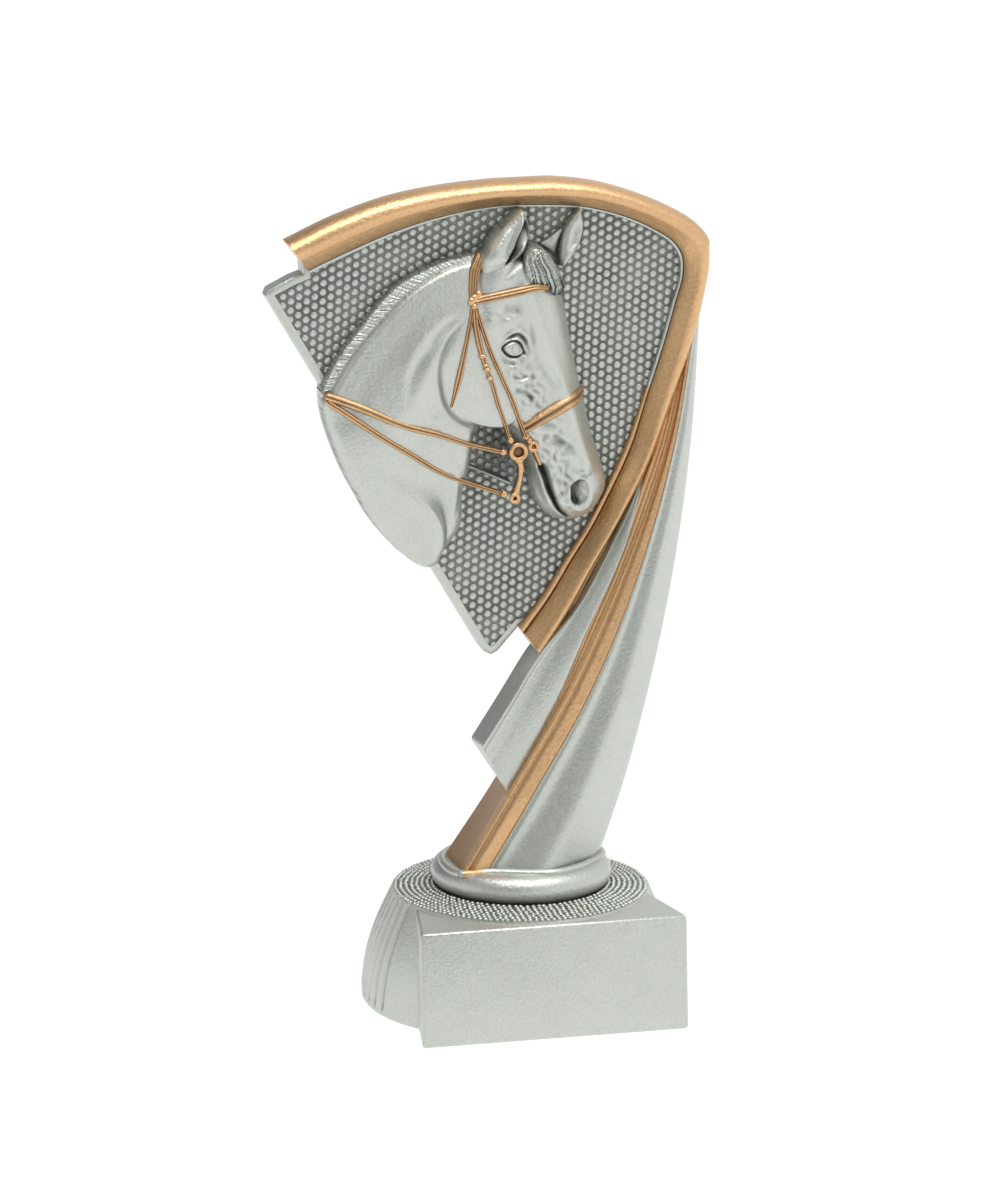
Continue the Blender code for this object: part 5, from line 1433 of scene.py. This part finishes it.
# %% Straps and reins
make_band("headpiece", 0.8, 4, 0.2,
          [(-9.7, 165.0, 0.7, 3.0), (-10.6, 163.2, 1.0, 4.4), (-11.4, 161.4, 1.1), (-11.8, 158.8, 1.0),
           (-12.1, 155.6, 0.85)])
make_band("browband", 0.9, 3, 0.2,
          [(-12.6, 155.4, 0.8), (-10.1, 156.0, 0.95), (-6.0, 156.8, 1.0), (-1.9, 157.6, 1.0), (1.0, 158.1, 0.9),
           (3.9, 157.8, 0.55)])
make_band("throatlash", 0.65, 2, 0.2,
          [(-12.1, 155.2, 0.5), (-13.0, 150.8, 0.5), (-14.2, 145.5, 0.6), (-15.5, 139.5, 0.75),
           (-17.0, 133.2, 0.3)])
make_band("cheek_strap", 0.9, 2, 0.2,
          [(-12.0, 155.2, 0.5), (-11.7, 149.8, 0.7), (-10.7, 144.9, 0.7), (-9.7, 141.6, 0.5),
           (-8.3, 137.8, 0.5), (-7.2, 133.8, 0.5), (-5.9, 130.4, 0.48, 6.6), (-4.0, 125.0, 0.45, 6.6)])
make_band("inner_cheek_strap", 0.85, 2, 0.2,
          [(-11.8, 155.2, 0.45), (-10.5, 150.3, 0.5), (-8.8, 145.2, 0.5), (-6.4, 139.5, 0.52),
           (-4.2, 134.6, 0.52), (-2.6, 130.4, 0.52, 7.2), (-0.7, 125.8, 0.5, 7.2)])
make_band("noseband", 1.1, 2, 0.4,
          [(-1.5, 127.3, 1.2), (1.5, 129.2, 1.35), (4.8, 131.0, 1.5), (8.0, 132.6, 1.55), (10.6, 133.5, 1.5),
           (12.2, 133.9, 1.35), (13.4, 134.0, 1.0)])
make_band("mouth_strap", 0.7, 1, 0.2,
          [(0.8, 123.6, 0.45, 6.0), (1.7, 121.5, 0.5, 6.0), (2.6, 119.4, 0.5)])
make_band("reins", 0.8, 2, 0.2,
          [(-43.5, 136.5, 0.5, 3.6), (-43.2, 136.4, 0.85, 5.0), (-39.9, 135.2, 0.95), (-35.4, 133.5, 0.9),
           (-28.0, 130.2, 0.82), (-19.4, 127.4, 0.7, 6.2), (-12.9, 124.8, 0.6, 6.3), (-5.2, 122.5, 0.55, 6.4)],
          [(-43.5, 135.9, 0.4, 3.6), (-43.0, 135.2, 0.65, 4.8), (-40.3, 133.3, 0.7), (-36.7, 130.8, 0.72),
           (-31.3, 127.1, 0.65), (-25.9, 123.6, 0.65), (-19.4, 119.3, 0.6), (-12.9, 116.3, 0.55, 5.6),
           (-5.4, 113.4, 0.5, 6.0)])
make_band("far_rein", 0.6, 1, 0.2, [(-12.4, 119.4, 0.4, 0.3), (-2.4, 114.3, 0.4, 0.3)], slot="silver_paint")

# %% Bit
BIT_HEIGHT = 7.2
BIT_RINGS = (((-2.3, 122.6), 1.6, 0.52), ((1.0, 123.6), 0.85, 0.42), ((-3.1, 112.6), 0.8, 0.46))
BIT_COLLARS = (((-4.0, 125.2), (0.75, 0.7, 0.75)), ((-0.7, 125.9), (0.85, 0.7, 0.8)),
               ((0.1, 124.9), (0.6, 0.6, 0.7)), ((-5.6, 122.7), (0.8, 0.65, 0.7)),
               ((-5.4, 113.6), (0.75, 0.6, 0.75)), ((-2.1, 120.6), (0.9, 0.5, 0.6)))
LEVER = [(-2.2, 121.2, 0.7, 6.5), (-1.7, 119.2, 0.65, 6.5), (-1.9, 116.8, 0.55, 6.5), (-2.5, 114.6, 0.65, 6.5),
         (-2.9, 113.2, 0.8, 6.5)]
BUCKLES = ((-10.9, 156.9, 0.75, 0.9), (-12.5, 155.6, 0.8, 0.9), (-11.8, 156.2, 0.9, 0.9),
           (-12.0, 154.6, 0.7, 0.6), (-10.5, 144.1, 0.85, 0.5), (-9.9, 142.2, 0.75, 0.35),
           (-9.6, 141.2, 0.85, 0.5), (-9.0, 139.3, 0.7, 0.5))


def add_hoop(bm, centre, height, radius, wire):
    """Round wire ring that lies parallel to the panel."""
    rings = []
    for turn in np.linspace(0.0, math.tau, 29)[:-1]:
        ring = []
        for angle in np.linspace(0.0, math.tau, 10, endpoint=False):
            reach = radius + wire * math.cos(angle)
            ring.append((centre[0] + reach * math.cos(turn), -PANEL_FACE - height - wire * math.sin(angle),
                         centre[1] + reach * math.sin(turn)))
        rings.append(ring)
    return loft(rings + [rings[0]], bm=bm)


def add_knob(bm, centre, height, radii, wash_and_shade=0.0):
    """Small rounded lump, such as a keeper or a buckle."""
    spot = Vector((centre[0], -PANEL_FACE - height, centre[1]))
    place = Matrix.Translation(spot) @ Matrix.Diagonal((radii[0], radii[1], radii[2], 1.0))
    for vert in bmesh.ops.create_uvsphere(bm, u_segments=14, v_segments=9, radius=1.0, matrix=place)["verts"]:
        vert[wash_and_shade_layer(bm)] = wash_and_shade


def make_bit():
    """Rings, each filled by a dark knob of painted shade, collars and the lever that hangs from the larger
    ring.
    """
    bm = start_piece()
    for centre, radius, wire in BIT_RINGS:
        add_hoop(bm, centre, BIT_HEIGHT, radius, wire)
        # a dark knob set into each ring: painted shade in the ring's opening
        add_knob(bm, centre, BIT_HEIGHT - 0.9, (radius, 0.7, radius), 0.9)
    for centre, radii in BIT_COLLARS:
        add_knob(bm, centre, BIT_HEIGHT - 0.1, radii)
    loft(*band_sections(LEVER, 0.8, 1, 0.0), bm=bm)
    return finish_piece("bit", bm, "gold_paint", 60.0)


def make_buckles():
    """Keepers and buckles on the straps, and the knots where the straps meet."""
    bm = start_piece()
    for x, z, wide, tall in BUCKLES:
        add_knob(bm, (x, z), float(read_map(SOFT_HEIGHTS, x, z)) + 0.5, (wide, 0.6, tall))
    return finish_piece("buckles", bm, "gold_paint", 60.0)


make_bit()
make_buckles()

# %% [markdown]
# ## Table and light
# A studio picture of metal is a picture of what the metal reflects. The left is kept dark, the right
# and the front light, and a bright softbox hangs overhead, so the folds of the column read. The pale
# table fills the background, because the camera looks down on it.


# %% Floor and light
TABLE_GREY = (0.12, 0.12, 0.12)
TABLE_GLOW = 0.97
STUDIO_GRADIENT = (("X", -0.36, 0.34, 0.34, 0.96), ("X", -1.0, -0.7, 0.45, 0.0), ("Y", 0.2, 0.7, 0.0, -0.15),
                   ("Z", 0.1, 0.5, 0.0, -0.08))


def make_floor():
    """Pale studio table that stays nearly white in the picture."""
    bm = bmesh.new()
    bmesh.ops.create_grid(bm, x_segments=4, y_segments=4, size=6.0)
    mesh = bpy.data.meshes.new("studio_table")
    bm.to_mesh(mesh)
    bm.free()
    table = show("studio_table", mesh)
    material = bpy.data.materials.new("pale table")
    material.use_nodes = True
    shader = material.node_tree.nodes["Principled BSDF"]
    for socket, value in (("Base Color", (*TABLE_GREY, 1.0)), ("Roughness", 1.0), ("Specular IOR Level", 0.0),
                          ("Emission Color", (1.0, 1.0, 1.0, 1.0)), ("Emission Strength", TABLE_GLOW)):
        shader.inputs[socket].default_value = value
    mesh.materials.append(material)
    return table


make_floor()


def softbox(name, place, aim, size, power):
    """Rectangular soft light aimed at a point, both in millimetres."""
    lamp = bpy.data.lights.new(name, "AREA")
    lamp.shape = "RECTANGLE"
    lamp.size, lamp.size_y = size
    lamp.energy = power
    light = show(name, lamp)
    light.location = Vector(place) * MM
    light.rotation_euler = (Vector(aim) - Vector(place)).to_track_quat("-Z", "Y").to_euler()
    return light


def studio_world():
    """Soft studio: light on the right and far left, darker between them, dim behind."""
    world = bpy.data.worlds.new("studio")
    world.use_nodes = True
    tree = world.node_tree
    back = tree.nodes["Background"].inputs
    back["Color"].default_value = (1.0, 1.0, 1.0, 1.0)
    way = tree.nodes.new("ShaderNodeTexCoord")
    split = tree.nodes.new("ShaderNodeSeparateXYZ")
    tree.links.new(way.outputs["Generated"], split.inputs["Vector"])
    total = 0.0
    for axis, *limits in STUDIO_GRADIENT:
        level = map_range(tree, split.outputs[axis], *limits, curve="SMOOTHSTEP")
        total = combine(tree, "ADD", total, level)
    tree.links.new(total, back["Strength"])
    bpy.context.scene.world = world


studio_world()
softbox("top_softbox", (0.0, -230.0, 1080.0), (0.0, -20.0, 80.0), (0.9, 0.6), 7.0)
bpy.context.scene.view_settings.view_transform = "Standard"
